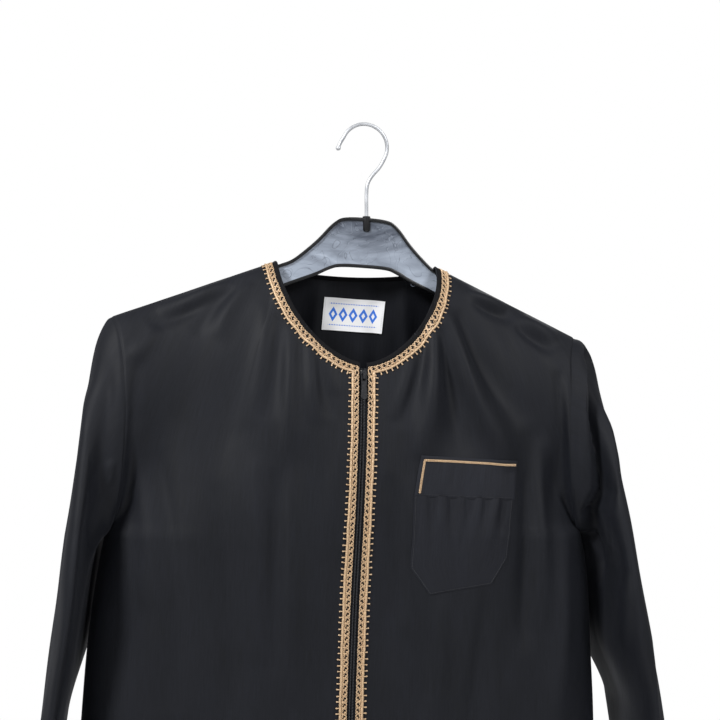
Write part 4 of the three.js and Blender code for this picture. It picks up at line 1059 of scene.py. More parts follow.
def binding(material):
    """Rolled strip over the whole neck edge, from the zip round the back to the zip."""
    rails = [0.0, 2.0, 4.0]
    lanes = [front_lane("right", 0.0, rails, None), back_lane(0.0, rails),
             front_lane("left", 0.0, rails, None)]
    points = np.concatenate([lanes[0].points[:, ::-1], lanes[1].points[:, 1:-1],
                             lanes[2].points], axis=1)
    normals = np.concatenate([lanes[0].normals[:, ::-1], lanes[1].normals[:, 1:-1],
                              lanes[2].normals], axis=1)
    lane = Lane(rails, points, normals)
    s = lane.s
    rings = []
    for t, height in BINDING_SECTION:
        pucker = 0.09 * np.sin(s / 2.3) * np.sin(s / 11 + 1) * (height > 0)
        rings.append(lane.lifted(s, t + 0 * s, height + pucker)[0])
    rings = np.array(rings)
    sides, count = rings.shape[:2]
    vertices = rings.transpose(1, 0, 2).reshape(-1, 3)
    faces = ring_quads(count, sides)[:, TURNED].tolist()
    faces += [list(range(sides)), [(count - 1) * sides + j for j in range(sides)][::-1]]
    mesh = make_mesh("binding_neck", vertices, faces, sharp=None)
    tidy_normals(mesh)
    return add_object("binding_neck", mesh, material, replaces=["neck_binding"])


def tidy_normals(mesh):
    """Faces of a closed mesh turned to point outwards."""
    work = bmesh.new()
    work.from_mesh(mesh)
    bmesh.ops.recalc_face_normals(work, faces=work.faces)
    work.to_mesh(mesh)
    work.free()


def stitches(points, normals, pitch, length, radius, height):
    """Row of single stitches along a line, as tubes."""
    points = np.asarray(points, float)
    run = running(np.linalg.norm(np.diff(points, axis=0), axis=-1))
    parts = []
    for k in range(int(run[-1] // pitch)):
        at = (k + 0.5) * pitch + length * np.array([-0.5, -0.25, 0.25, 0.5])
        path, up = read_off(at, run, points), read_off(at, run, normals)
        rise = height + radius * np.array([-1.0, 0.4, 0.4, -1.0])
        parts.append(tube(path + up * rise[:, None], up, radius, 5))
    return parts


def stitch_piece(name, parts, material):
    return add_object(name, make_mesh(name, *joined(parts)), material)


# ------------------------------------------------------------------ zip

COIL = {
    "pitch": 1.45, "at": 1.45, "wide": 1.05, "deep": 0.55, "wire": 0.3, "top_z": -258.5,
    "foot_over": 4,
}


def zip_line(z):
    """Middle line of the zip between the two fronts, and its normals."""
    sides = [PANELS["front", name].place(centre_x(z) + sign * ZIP["half"], z)
             for name, sign in (("left", 1), ("right", -1))]
    points = (sides[0][0] + sides[1][0]) / 2
    return points, unit(sides[0][1] + sides[1][1])


def zip_tape(name, material):
    panel = PANELS["front", name]
    sign = panel.side["sign"]
    z = np.linspace(ZIP["top_z"] + 1, ZIP_BOTTOM - 6, 150)
    edge, edge_normals = panel.place(centre_x(z) + sign * (ZIP["half"] + 0.2), z)
    outer, outer_normals = panel.place(centre_x(z) + sign * ZIP["tape_out"], z)
    inner = edge.copy()
    inner[:, 0] -= sign * (ZIP["half"] + 0.2 - ZIP["tape_in"])
    rungs = [mix(inner, edge, share) for share in (0, 0.25, 0.5, 0.75)]
    rungs += [mix(edge, outer, share) for share in (0, 0.35, 0.7, 1)]
    points = np.array(rungs)
    normals = np.array([edge_normals] * 5 + [mix(edge_normals, outer_normals, share)
                                             for share in (0.35, 0.7, 1)])
    widths = np.linalg.norm(points - points[:1], axis=-1)
    uv = np.stack([widths, points[..., 2]], -1)
    high = np.full(points.shape[:2], -0.75)
    mesh = shell(f"tape_zip_{name}", points, unit(normals), high - 0.45, high, uv)
    return add_object(f"tape_zip_{name}", mesh, material,
                      replaces=[f"zip_tape_{name}"])


def zip_coil(material, thread):
    """Closed coil chain: one coil on each side, meshed, with its row of sewing thread."""
    top, foot = COIL["top_z"], ZIP_BOTTOM + COIL["foot_over"]
    turns = int((top - foot) / COIL["pitch"])
    theta = np.linspace(0, 2 * np.pi * turns, turns * 9)
    z = top + (foot - top) * theta / theta[-1]
    coarse = np.linspace(top, foot, 120)
    line, line_normals = zip_line(coarse)
    middle = read_off(-z, -coarse, line)
    up = unit(read_off(-z, -coarse, line_normals))
    parts, threads = [], []
    for sign in (-1, 1):
        half_turn = 0 if sign > 0 else np.pi
        across = sign * (COIL["at"] - COIL["wide"] * np.cos(theta + half_turn) * sign)
        rise = -0.25 + COIL["deep"] * np.sin(theta + half_turn)
        path = middle + up * rise[:, None]
        path[:, 0] += across
        parts.append(tube(path, up, COIL["wire"], 5))
        rail = line.copy()
        rail[:, 0] += sign * COIL["at"]
        threads += stitches(rail, line_normals, COIL["pitch"] * 2, 1.7, 0.26, 0.55)
    add_object("coil_zip", make_mesh("coil_zip", *joined(parts)), material,
               replaces=["zip_chain"])
    stitch_piece("coil_zip_thread", threads, thread)


# ------------------------------------------------------------------ pocket and label


def patch_grid(place, spot, rows, columns):
    """Points and normals of a patch given by rows: down, left end, right end and rise."""
    flat = []
    for down, left, right, rise in rows:
        x, z = rolled(mix(left, right, columns), rise * columns - down, spot["roll"])
        flat.append((spot["x"] + x, spot["z"] + z))
    x = np.array([row[0] for row in flat]).T
    z = np.array([row[1] for row in flat]).T
    return place(x, z)


def pocket_row(down):
    """Row across the pocket: down, left end, right end and rise of the right end."""
    return [np.interp(down, POCKET_ROWS[:, 0], column) for column in POCKET_ROWS.T]


def pocket_spot(down, across, inset):
    """Place in the pocket's frame (right, down) on one of its rows."""
    down, left, right, rise = pocket_row(down)
    return mix(left + inset, right - inset, across), down - rise * across


def on_left_front(x, z):
    return PANELS["front", "left"].place(x, z)


POCKET_COLUMNS = np.unique(np.concatenate([[0, 0.008, 0.02], np.linspace(0.03, 0.97, 64),
                                           [0.98, 0.992, 1]]))
# Soft gathers below the pocket's band: place across, lean, width, rise and reach down.
GATHERS = [
    (0.1, 0.05, 0.05, 1.9, 0.95), (0.18, 0.08, 0.05, -1.6, 0.7), (0.28, 0.09, 0.055, 2.3, 1.0),
    (0.38, 0.04, 0.05, -1.5, 0.7), (0.47, 0.0, 0.045, 1.4, 0.6), (0.55, -0.02, 0.045, -1.7, 0.7),
    (0.64, -0.03, 0.04, 1.8, 0.6), (0.72, -0.04, 0.04, -1.3, 0.5),
    (0.81, -0.08, 0.045, 2.0, 0.95), (0.9, -0.06, 0.04, -1.5, 0.7),
]


def pocket_body(material):
    top, height = POCKET_BAND - 1.5, POCKET_FOOT
    downs = np.unique(np.concatenate([np.linspace(top, height, 66), height - np.array([0.5, 1.4])]))
    points, normals = patch_grid(on_left_front, POCKET, map(pocket_row, downs), POCKET_COLUMNS)
    across, down = np.meshgrid(POCKET_COLUMNS, (downs - top) / (height - top), indexing="ij")
    edge = np.minimum(np.minimum(across, 1 - across) * POCKET["width"], (1 - down) * (height - top))
    lift = 1.0 - 0.35 * np.exp(-(edge / 1.5) ** 2)
    free = smooth(edge / 12)
    lift = lift + 1.3 * free * np.sin(np.pi * np.clip(down, 0, 1)) * np.sin(np.pi * across)
    for at, lean, width, rise, reach in GATHERS:
        off = (across - at - lean * down) / (width * (1 + 0.9 * down))
        fade = 1 - smooth(down / reach)
        lift = lift + rise * fade * free * np.exp(-off * off)
    lift = np.maximum(lift, 0.6)
    uv = np.stack([across * POCKET["width"], -down * (height - top)], -1)
    mesh = shell("cloth_pocket", points, normals, lift - 0.5, lift + 0.3, uv)
    return add_object("cloth_pocket", mesh, material, replaces=["pocket"])


def pocket_band(material):
    downs = np.unique(np.concatenate([[0, 0.5, 1.3], np.linspace(2, POCKET_BAND - 1.3, 22),
                                      [POCKET_BAND - 0.5, POCKET_BAND]]))
    points, normals = patch_grid(on_left_front, POCKET, map(pocket_row, downs), POCKET_COLUMNS)
    across, down = np.meshgrid(POCKET_COLUMNS, downs, indexing="ij")
    edge = np.minimum(np.minimum(across, 1 - across) * POCKET["width"],
                      np.minimum(down, POCKET_BAND - down))
    lift = 1.9 - 0.7 * np.exp(-(edge / 0.9) ** 2) + 0.25 * np.sin(np.pi * down / POCKET_BAND)
    lift = lift + 0.16 * np.sin(across * 31) * np.sin(down / 9)
    uv = np.stack([across * POCKET["width"], -down], -1)
    mesh = shell("cloth_pocket_band", points, normals, lift - 1.2, lift, uv)
    return add_object("cloth_pocket_band", mesh, material,
                      replaces=["pocket_band"])


def pocket_path(flat):
    """Points and normals of a line in the pocket's own frame (right, down)."""
    right, down = np.asarray(flat, float).T
    steps = np.concatenate([[0], np.cumsum(np.hypot(np.diff(right), np.diff(down)))])
    at = np.linspace(0, steps[-1], int(steps[-1] / 0.8) + 2)
    x, z = rolled(np.interp(at, steps, right), -np.interp(at, steps, down), POCKET["roll"])
    points, normals = on_left_front(POCKET["x"] + x, POCKET["z"] + z)
    return points, normals, at


def pocket_stitch(material):
    """Gold chain stitch: up the band's left edge, then along its top."""
    inset = STITCH["inset"]
    points, normals, at = pocket_path([
        pocket_spot(STITCH["foot"], 0, inset + 0.6), pocket_spot(inset, 0, inset),
        pocket_spot(inset, 1, 2.6)])
    side = unit(np.cross(normals, np.gradient(points, axis=0)))
    fine = np.linspace(0, at[-1], int(at[-1] * 5))
    middle = read_off(fine, at, points)
    up, aside = unit(read_off(fine, at, normals)), unit(read_off(fine, at, side))
    parts = []
    for phase in (0, np.pi):
        theta = 2 * np.pi * fine / STITCH["pitch"] + phase
        rise = STITCH["height"] + 0.28 * np.cos(theta * 2 + phase)
        path = middle + up * rise[:, None] + aside * (STITCH["sway"] * np.sin(theta))[:, None]
        parts.append(tube(path, up, STITCH["radius"], 6))
    mesh = make_mesh("stitch_pocket_gold", *joined(parts))
    return add_object("stitch_pocket_gold", mesh, material,
                      replaces=["pocket_stitch"])


def pocket_seams(material):
    """Topstitching: round the pocket's sides and foot, and along the band's foot."""
    low, corner = POCKET_FOOT - 1.6, POCKET_SIDE_END - 0.6
    outline = [pocket_spot(down, across, 1.6) for down, across in (
        (POCKET_BAND, 0), (corner, 0), (low, 0), (low, 1), (corner, 1), (1.5, 1))]
    band_foot = [pocket_spot(POCKET_BAND - 2.2, across, 0.6) for across in (0, 1)]
    parts = []
    for line, radius, height in ((outline, 0.14, 1.5), (band_foot, 0.15, 1.95)):
        points, normals, _ = pocket_path(line)
        parts += stitches(points, normals, 2.7, 1.9, radius, height)
    return stitch_piece("stitch_pocket_black", parts, material)


def on_back_inside(x, z):
    right, left = PANELS["back", "right"], PANELS["back", "left"]
    on_right, on_left = right.place(x, z), left.place(x, z)
    pick = (x > centre_x(z))[..., None]
    return np.where(pick, on_left[0], on_right[0]), np.where(pick, on_left[1], on_right[1])


def neck_label(material, thread):
    columns, shares = np.linspace(0, 1, 41), np.linspace(-0.5, 0.5, 23)
    half = LABEL["width"] / 2
    rows = [(share * LABEL["height"], -half, half, 0) for share in shares]
    points, normals = patch_grid(on_back_inside, LABEL, rows, columns)
    across, down = np.meshgrid(columns, shares, indexing="ij")
    curl = 0.5 * np.abs(2 * across - 1) ** 6 + 0.35 * np.abs(2 * down) ** 5
    lift = -(1.0 + 0.4 * curl + 0.12 * np.sin(across * 17) * np.sin(down * 7))
    uv = np.stack([across * LABEL["width"], (0.5 - down) * LABEL["height"]], -1)
    mesh = shell("label_neck", points, normals, lift - 0.45, lift, uv)
    piece = add_object("label_neck", mesh, material, replaces=["label"])
    parts = []
    for column in (1, -2):
        parts += stitches(points[column], -normals[column], 2.4, 1.8, 0.16, 1.65)
    stitch_piece("label_thread", parts, thread)
    return piece


# ------------------------------------------------------------------ hems

HEM_STITCH = {"pitch": 3.4, "length": 2.5, "radius": 0.2, "height": CLOTH_OUT + 0.12}
CUFF_STITCH_ROW = -7


def hem_stitches(material):
    """Topstitching above the hem and the cuffs."""
    parts = []
    row = int(np.argmin(np.abs(ROW - HEM_STITCH_ROW)))
    for panel in PANELS.values():
        parts += stitches(panel.points[:, row], panel.normals[:, row], **HEM_STITCH)
    for sleeve in SLEEVES.values():
        loop, up = (np.concatenate([grid[:, CUFF_STITCH_ROW], grid[:1, CUFF_STITCH_ROW]])
                    for grid in (sleeve.points, sleeve.normals))
        parts += stitches(loop, up, **HEM_STITCH)
    return stitch_piece("stitch_hems", parts, material)


# ------------------------------------------------------------------ hanger

# Half outline of the blade: reach from the middle, height below its top.
BLADE_TOP = [(22.9, 0), (34, 8), (46, 23), (57, 34), (72, 47.4)]
BLADE_FOOT = [(210, 19), (150, 23.5), (100, 26), (71, 24)]
BLADE_MIDDLE = [(46, 60.5), (34.6, 54), (24, 50)]
BLADE = {"rim": 3.0, "web": 1.2, "rim_width": 3.2, "round": 0.7}


def arm_top(reach):
    return RIDGE["down"] + RIDGE["slope"] * (reach - RIDGE["at"]) + HANGER["clearance"]


def blade_outline():
    reach = HANGER["reach"]
    half = [(x, -down) for x, down in BLADE_TOP]
    half += [
        (86, -arm_top(86)), (reach - 8, -arm_top(reach - 8)),
        (reach - 1.5, -arm_top(reach - 8) - 6), (reach, -arm_top(reach) - 8),
        (reach - 3, -arm_top(reach) - 14),
    ]
    half += [(x, -arm_top(x) - depth) for x, depth in BLADE_FOOT]
    half += [(x, -down) for x, down in BLADE_MIDDLE]
    outline = np.array(half + [(-x, y) for x, y in half[::-1]], float)
    for _ in range(3):
        following = np.roll(outline, -1, axis=0)
        cut = np.stack([mix(outline, following, 0.22), mix(outline, following, 0.78)], 1)
        outline = cut.reshape(-1, 2)
    return outline


def inset_line(outline, distance):
    before, after = np.roll(outline, 1, axis=0), np.roll(outline, -1, axis=0)
    run = unit(unit(outline - before) + unit(after - outline))
    return outline + distance * np.stack([run[:, 1], -run[:, 0]], -1)


def on_hanger(flat, depth):
    """Points of the hanger's own frame as points of the part."""
    x, z = rolled(flat[..., 0], flat[..., 1], HANGER["roll"])
    return xyz(HANGER["x"] + x, depth, HANGER["z"] + z)


def blade_rim(material):
    """Raised rim all round the blade, with eased edges."""
    outline = blade_outline()
    rim, wide, ease = BLADE["rim"], BLADE["rim_width"], BLADE["round"]
    section = [(0, -rim + ease), (ease * 0.3, -rim + ease * 0.3), (ease, -rim), (wide - ease, -rim),
               (wide - ease * 0.3, -rim + ease * 0.3), (wide, -rim + ease)]
    section += [(inset, -depth) for inset, depth in section[::-1]]
    rings = np.array([on_hanger(inset_line(outline, inset), depth) for inset, depth in section])
    sides, count = rings.shape[:2]
    faces = ring_quads(count, sides, closed=True)[:, TURNED].tolist()
    mesh = make_mesh("hanger_rim", rings.transpose(1, 0, 2).reshape(-1, 3), faces, sharp=None)
    tidy_normals(mesh)
    return add_object("hanger_rim", mesh, material)


def blade_web(material):
    """Flat web between the rims, with eased moulding towards them."""
    outline = inset_line(blade_outline(), BLADE["rim_width"] - 0.4)
    web = BLADE["web"]
    count = len(outline)
    front, back = (on_hanger(outline, depth + 0 * outline[:, 0]) for depth in (-web, web))
    ring = list(range(count))
    faces = [ring, [count + k for k in ring[::-1]]]
    faces += [[(k + 1) % count, k, count + k, count + (k + 1) % count] for k in ring]
    mesh = make_mesh("hanger_web", np.concatenate([front, back]), faces, sharp=40)
    tidy_normals(mesh)
    return add_object("hanger_web", mesh, material, replaces=["hanger_blade"])


# Round marks of the mould's ejector pins on the web: reach, height below the top, radius.
EJECTORS = [(-24, 10.4, 4.0), (22, 18.4, 4.3), (-76, 61.5, 4.2), (52, 62.8, 2.2),
            (-150, 88, 4.2), (150, 88, 4.2)]


def web_marks(material):
    parts = []
    turn = np.linspace(0, 2 * np.pi, 33)
    for face in (-1, 1):
        for reach, down, radius in EJECTORS:
            flat = np.stack([reach + radius * np.cos(turn), -down + radius * np.sin(turn)], -1)
            path = on_hanger(flat, face * (BLADE["web"] + 0.02) + 0 * turn)
            parts.append(tube(path, np.array([[0, face, 0.0]] * len(turn)), 0.17, 5))
    return add_object("hanger_marks", make_mesh("hanger_marks", *joined(parts)), material)


def hook_boss(material):
    """Round socket that holds the hook's stem, with a domed foot."""
    top, foot, radius = HANGER["z"] + 1.4, HANGER["z"] - HOOK["socket"] - 2, 3.9
    z = np.array([top, top + 0.35, top, foot + 2.4, foot + 0.9, foot])
    widths = np.array([2.1, radius - 0.5, radius, radius, radius * 0.8, 0.4])
    turn = 2 * np.pi * np.arange(24) / 24
    rings = np.array([xyz(HOOK["stem_x"] + width * np.cos(turn), width * np.sin(turn), height)
                      for width, height in zip(widths, z)])
    count = len(turn)
    faces = ring_quads(len(z), count).tolist()
    faces += [list(range(count)), [(len(z) - 1) * count + j for j in range(count)][::-1]]
    mesh = make_mesh("hanger_boss", rings.reshape(-1, 3), faces, sharp=40)
    tidy_normals(mesh)
    return add_object("hanger_boss", mesh, material)


def catmull_rom(points, steps):
    """Smooth line through points."""
    points = np.asarray(points, float)
    padded = np.concatenate([2 * points[:1] - points[1:2], points, 2 * points[-1:] - points[-2:-1]])
    line = []
    for k in range(len(points) - 1):
        p0, p1, p2, p3 = padded[k:k + 4]
        t = np.linspace(0, 1, steps, endpoint=False)[:, None]
        line.append(0.5 * (2 * p1 + (p2 - p0) * t + (2 * p0 - 5 * p1 + 4 * p2 - p3) * t ** 2
                           + (3 * p1 - p0 - 3 * p2 + p3) * t ** 3))
    return np.concatenate(line + [points[-1:]])


def hook(material):
    """Wire hook: an arc over the bearing point, a swan neck, then the stem."""
    angle = np.radians(np.arange(156, -21, -16))
    bent = [(-26.6, 0, -22.8), (-24.6, 0, -17.8)]
    arc = xyz(HOOK["radius"] * np.cos(angle), 0, HOOK["centre_z"] + HOOK["radius"] * np.sin(angle))
    neck = [(15.7, 0, -40.5), (7.6, 0, -50), (3.2, 0, -58), (HOOK["stem_x"], 0, -68),
            (HOOK["stem_x"], 0, -84), (HOOK["stem_x"], 0, HANGER["z"] - HOOK["socket"] + 2)]
    path = catmull_rom(np.concatenate([bent, arc, neck]), 8)
    up = np.tile(np.array([0.0, -1.0, 0.0]), (len(path), 1))
    parts = [tube(path, up, HOOK["wire"], 18)]
    along = np.linspace(-1, 1, 11)
    bead = path[0] + unit(path[0] - path[1]) * (along * HOOK["tip"])[:, None]
    radius = HOOK["tip"] * np.sqrt(np.maximum(1 - along ** 2, 0.02))
    parts.append(tube(bead, up[:len(bead)], radius, 18))
    mesh = make_mesh("hook_wire", *joined(parts))
    return add_object("hook_wire", mesh, material, replaces=["hanger_hook"])


# ------------------------------------------------------------------ materials


def linear(*shades):
    """Linear colour of display shades from 0 to 255."""
    scaled = [shade / 255 for shade in shades]
    return tuple(c / 12.92 if c <= 0.04045 else ((c + 0.055) / 1.055) ** 2.4 for c in scaled)


class Look:
    """A material and short helpers to wire its nodes."""

    def __init__(self, name, **sockets):
        self.material = bpy.data.materials.new(name)
        self.material.use_nodes = True
        self.tree = self.material.node_tree
        self.shader = self.tree.nodes["Principled BSDF"]
        for socket, value in sockets.items():
            self.shader.inputs[socket.replace("_", " ")].default_value = value

    def node(self, kind, inputs=(), **settings):
        node = self.tree.nodes.new(kind)
        for key, value in settings.items():
            setattr(node, key, value)
        for key, value in dict(inputs).items():
            self.feed(node.inputs[key], value)
        return node

    def feed(self, socket, value):
        """A link from another node's output, or a plain value."""
        if isinstance(value, bpy.types.NodeSocket):
            self.tree.links.new(value, socket)
        else:
            socket.default_value = value

    def flat(self, across, down):
        """The cloth's flat coordinates, scaled."""
        source = self.node("ShaderNodeUVMap", uv_map="flat").outputs["UV"]
        return self.scaled(source, (across, down, 1))

    def place(self, scale=(1, 1, 1)):
        source = self.node("ShaderNodeTexCoord").outputs["Object"]
        return self.scaled(source, scale)

    def scaled(self, source, scale):
        mapping = self.node("ShaderNodeMapping", {"Vector": source, "Scale": scale})
        return mapping.outputs["Vector"]

    def noise(self, vector, detail=2.0, roughness=0.5, warp=0.0):
        inputs = {"Vector": vector, "Scale": 1.0, "Detail": detail, "Roughness": roughness,
                  "Distortion": warp}
        return self.node("ShaderNodeTexNoise", inputs).outputs["Fac"]

    def maths(self, operation, *values):
        node = self.node("ShaderNodeMath", dict(enumerate(values)), operation=operation)
        return node.outputs[0]

    def spread(self, value, low, high, to_low=0.0, to_high=1.0):
        inputs = {"Value": value, "From Min": low, "From Max": high, "To Min": to_low,
                  "To Max": to_high}
        return self.node("ShaderNodeMapRange", inputs).outputs["Result"]

    def blended(self, share, first, second):
        node = self.node("ShaderNodeMix", data_type="RGBA")
        self.feed(node.inputs["Factor"], share)
        for name, colour in (("A", first), ("B", second)):
            socket = [s for s in node.inputs if s.name == name and s.type == "RGBA"][0]
            self.feed(socket, (*colour, 1) if isinstance(colour, tuple) else colour)
        return [s for s in node.outputs if s.type == "RGBA"][0]

    def bump(self, height, distance, strength=1.0, after=None):
        inputs = {"Height": height, "Distance": distance, "Strength": strength}
        if after is not None:
            inputs["Normal"] = after
        return self.node("ShaderNodeBump", inputs).outputs["Normal"]

    def finish(self, colour, roughness, normal):
        for name, value in (("Base Color", colour), ("Roughness", roughness), ("Normal", normal)):
            self.feed(self.shader.inputs[name], value)
        return self.material


def twill(look, pitch, lean):
    """Height of a fine diagonal weave, 0 to 1."""
    u_v = look.node("ShaderNodeSeparateXYZ", {"Vector": look.flat(1 / pitch, lean / pitch)})
    turns = look.maths("ADD", u_v.outputs["X"], u_v.outputs["Y"])
    wave = look.maths("SINE", look.maths("MULTIPLY", turns, 2 * math.pi))
    return look.spread(wave, -1.0, 1.0)


def cloth_look(name, dark, pale, sheen, rough):
    look = Look(name, Specular_IOR_Level=0.22, Sheen_Weight=sheen, Sheen_Roughness=0.42,
                Sheen_Tint=(0.82, 0.86, 1.0, 1.0))
    streaks = look.noise(look.flat(820, 34), detail=3, roughness=0.6)
    broad = look.noise(look.flat(26, 9), detail=3, roughness=0.55)
    share = look.maths("ADD", look.maths("MULTIPLY", streaks, 0.7),
                       look.maths("MULTIPLY", broad, 0.45))
    colour = look.blended(look.spread(share, 0.36, 0.8), dark, pale)
    weave = look.bump(twill(look, 0.0011, 0.62), 0.00005, 0.5)
    slubs = look.bump(streaks, 0.00022, 0.55, weave)
    crumple = look.bump(look.noise(look.flat(95, 46), detail=2, warp=0.4), 0.0006, 0.35, slubs)
    return look.finish(colour, look.spread(broad, 0.3, 0.7, rough - 0.05, rough + 0.06), crumple)


def braid_look():
    look = Look("gold_yarn", Metallic=0.15, Specular_IOR_Level=0.7, Sheen_Weight=0.1,
                Sheen_Roughness=0.4)
    fibres = look.noise(look.place((2600, 2600, 2600)), detail=2, roughness=0.6)
    tone = look.noise(look.place((170, 170, 170)), detail=2)
    colour = look.blended(look.spread(fibres, 0.35, 0.7), linear(146, 106, 70),
                          linear(240, 214, 176))
    worn = look.blended(look.spread(tone, 0.5, 0.75, 0.0, 0.3), colour, linear(226, 192, 146))
    normal = look.bump(fibres, 0.00022, 0.7)
    return look.finish(worn, look.spread(fibres, 0.3, 0.7, 0.3, 0.5), normal)


def label_look():
    """White satin with a woven row of lozenges between two dotted lines."""
    look = Look("label_satin", Specular_IOR_Level=0.4, Sheen_Weight=0.15, Sheen_Roughness=0.35)
    place = look.node("ShaderNodeSeparateXYZ", {"Vector": look.flat(1, 1)})
    u = look.maths("SUBTRACT", place.outputs["X"], LABEL["width"] / 2 * MM)
    v = look.maths("SUBTRACT", place.outputs["Y"], LABEL["height"] / 2 * MM)
    far_u, far_v = look.maths("ABSOLUTE", u), look.maths("ABSOLUTE", v)
    pitch, arm = 0.0105, 0.0047
    lozenge = look.maths("ADD", look.maths("PINGPONG", u, pitch / 2),
                         look.maths("MULTIPLY", far_v, 0.62))
    filled = look.maths("LESS_THAN", lozenge, arm)
    hole = look.maths("LESS_THAN", lozenge, arm * 0.42)
    row = look.maths("LESS_THAN", far_u, pitch * 2.45)
    motif = look.maths("MULTIPLY", look.maths("SUBTRACT", filled, hole), row)
    off_line = look.maths("ABSOLUTE", look.maths("SUBTRACT", far_v, 0.0108))
    dots = look.maths("LESS_THAN", look.maths("PINGPONG", u, pitch / 8), pitch / 14)
    line = look.maths("MULTIPLY", look.maths("LESS_THAN", off_line, 0.0005), dots)
    woven = look.maths("MAXIMUM", look.maths("MULTIPLY", line, row), motif)
    threads = look.noise(look.flat(500, 2600), detail=2)
    ground = look.blended(threads, linear(244, 245, 248), linear(253, 253, 254))
    colour = look.blended(woven, ground, linear(58, 122, 226))
    normal = look.bump(threads, 0.0001, 0.5)
    return look.finish(colour, look.spread(threads, 0.3, 0.7, 0.38, 0.5), normal)


def tape_look():
    look = Look("zip_tape_weave", Specular_IOR_Level=0.25, Sheen_Weight=0.12, Sheen_Roughness=0.5)
    ribs = twill(look, 0.0008, 1.0)
    colour = look.blended(ribs, linear(19, 20, 23), linear(34, 35, 40))
    return look.finish(colour, look.spread(ribs, 0.0, 1.0, 0.75, 0.9), look.bump(ribs, 0.00008, 0.7))


def plain_look(name, dark, pale, scale, rough, distance=0.00005, **sockets):
    """Moulded or wound stuff: two tones and a roughness that vary with a noise."""
    look = Look(name, **sockets)
    grain = look.noise(look.place((scale, scale, scale)), detail=4, roughness=0.6)
    colour = look.blended(look.spread(grain, 0.3, 0.7), dark, pale)
    roughness = look.spread(grain, 0.3, 0.7, rough - 0.06, rough + 0.08)
    return look.finish(colour, roughness, look.bump(grain, distance, 0.6))


def web_painted_reflection_look():
    """Recycled moulded plastic, black like the rim; its blue grey, paler downwards, is painted
    reflection of the white room and the lamps, with thin flow lines.
    """
    look = Look("hanger_web_painted_reflection", Specular_IOR_Level=0.6, Coat_Weight=0.5, Coat_Roughness=0.1)
    height = look.node("ShaderNodeSeparateXYZ", {"Vector": look.place()}).outputs["Z"]
    flow = look.noise(look.place((9, 9, 30)), detail=4, roughness=0.55, warp=1.6)
    swirl = look.noise(look.place((30, 30, 46)), detail=1, roughness=0.5, warp=2.2)
    # pale streaks stretched across the web lighten its colour and add a faint bump
    pale_streaks = look.noise(look.place((60, 60, 900)), detail=2, roughness=0.7)
    # painted reflection: the web is painted dark at its top and pale towards its foot
    fall = look.spread(height, (HANGER["z"] - 5) * MM, (HANGER["z"] - 62) * MM)
    share = look.maths("ADD", look.maths("MULTIPLY", fall, 0.75),
                       look.spread(flow, 0.32, 0.68, -0.2, 0.4))
    # the blue grey tones of the painted reflection
    tone = look.blended(look.spread(share, 0.0, 1.0), linear(70, 76, 88), linear(172, 182, 197))
    off = look.maths("ABSOLUTE", look.maths("SUBTRACT", swirl, 0.5))
    lined = look.blended(look.spread(off, 0.003, 0.012, 0.4, 0.0), tone, linear(46, 51, 60))
    pale = look.maths("ABSOLUTE", look.maths("SUBTRACT", swirl, 0.535))
    edged = look.blended(look.spread(pale, 0.003, 0.012, 0.3, 0.0), lined, linear(160, 168, 182))
    colour = look.blended(look.spread(pale_streaks, 0.62, 0.8, 0.0, 0.22), edged, linear(190, 197, 208))
    roughness = look.spread(flow, 0.3, 0.7, 0.16, 0.3)
    normal = look.bump(flow, 0.0006, 0.2, look.bump(pale_streaks, 0.00002, 0.2))
    return look.finish(colour, roughness, normal)


LOOKS = {
    "cloth": cloth_look("black_cloth", linear(11, 13, 18), linear(21, 23, 30), 0.03, 0.64),
    "pocket": cloth_look("black_cloth_pocket", linear(16, 17, 23), linear(27, 29, 36), 0.03, 0.64),
    "band": cloth_look("black_band_cloth", linear(20, 21, 27), linear(31, 33, 40), 0.03, 0.68),
    "binding": cloth_look("black_binding_cloth", linear(6, 6, 8), linear(14, 14, 17), 0.0, 0.85),
    "braid": braid_look(),
    "label": label_look(),
    "tape": tape_look(),
    "thread": plain_look("black_thread", linear(30, 31, 35), linear(52, 53, 58), 1500, 0.6,
                         Sheen_Weight=0.2),
    "white_thread": plain_look("white_thread", linear(206, 208, 214), linear(240, 241, 244), 1500,
                               0.55),
    "coil": plain_look("coil_nylon", linear(24, 25, 28), linear(44, 45, 50), 900, 0.36),
    "metal": plain_look("zip_metal_dark", linear(24, 24, 26), linear(44, 44, 47), 500, 0.38,
                        0.00001, Metallic=0.5),
    "bright": plain_look("zip_metal_bright", linear(150, 148, 142), linear(198, 196, 188), 500,
                         0.3, 0.00003, Metallic=1.0),
    # blue grey painted reflection on the hanger's black web
    "web": web_painted_reflection_look(),
    "rim": plain_look("hanger_rim_plastic", linear(9, 10, 12), linear(19, 20, 23), 90, 0.34,
                      0.00002, Coat_Weight=0.1, Coat_Roughness=0.15),
    # ejector marks painted in the blue grey of the web's painted reflection, not the plastic's black
    "mark": plain_look("hanger_mark_painted_reflection", linear(84, 91, 104), linear(112, 120, 134), 90, 0.4),
    "steel": plain_look("galvanised_wire", linear(176, 179, 184), linear(214, 216, 220), 60, 0.42,
                        0.0, Metallic=0.6),
}

# ------------------------------------------------------------------ the camera

# The lens is level with the upper chest, a little to the wearer's right.
VIEW = {"target": (-4.57, 0, -234.2), "azimuth": -10, "distance": 1350, "lens": 67.5, "sensor": 36}


def make_camera():
    camera = bpy.data.cameras.new("camera")
    camera.lens, camera.sensor_width = VIEW["lens"], VIEW["sensor"]
    camera.clip_end = 50
    stand = bpy.data.objects.new("camera", camera)
    bpy.context.scene.collection.objects.link(stand)
    turn = math.radians(VIEW["azimuth"])
    ahead = Vector((-math.sin(turn), math.cos(turn), 0))
    target = Vector(VIEW["target"]) * MM
    stand.location = target - ahead * VIEW["distance"] * MM
    stand.rotation_euler = ahead.to_track_quat("-Z", "Y").to_euler()
    bpy.context.scene.camera = stand


# ------------------------------------------------------------------ the pieces


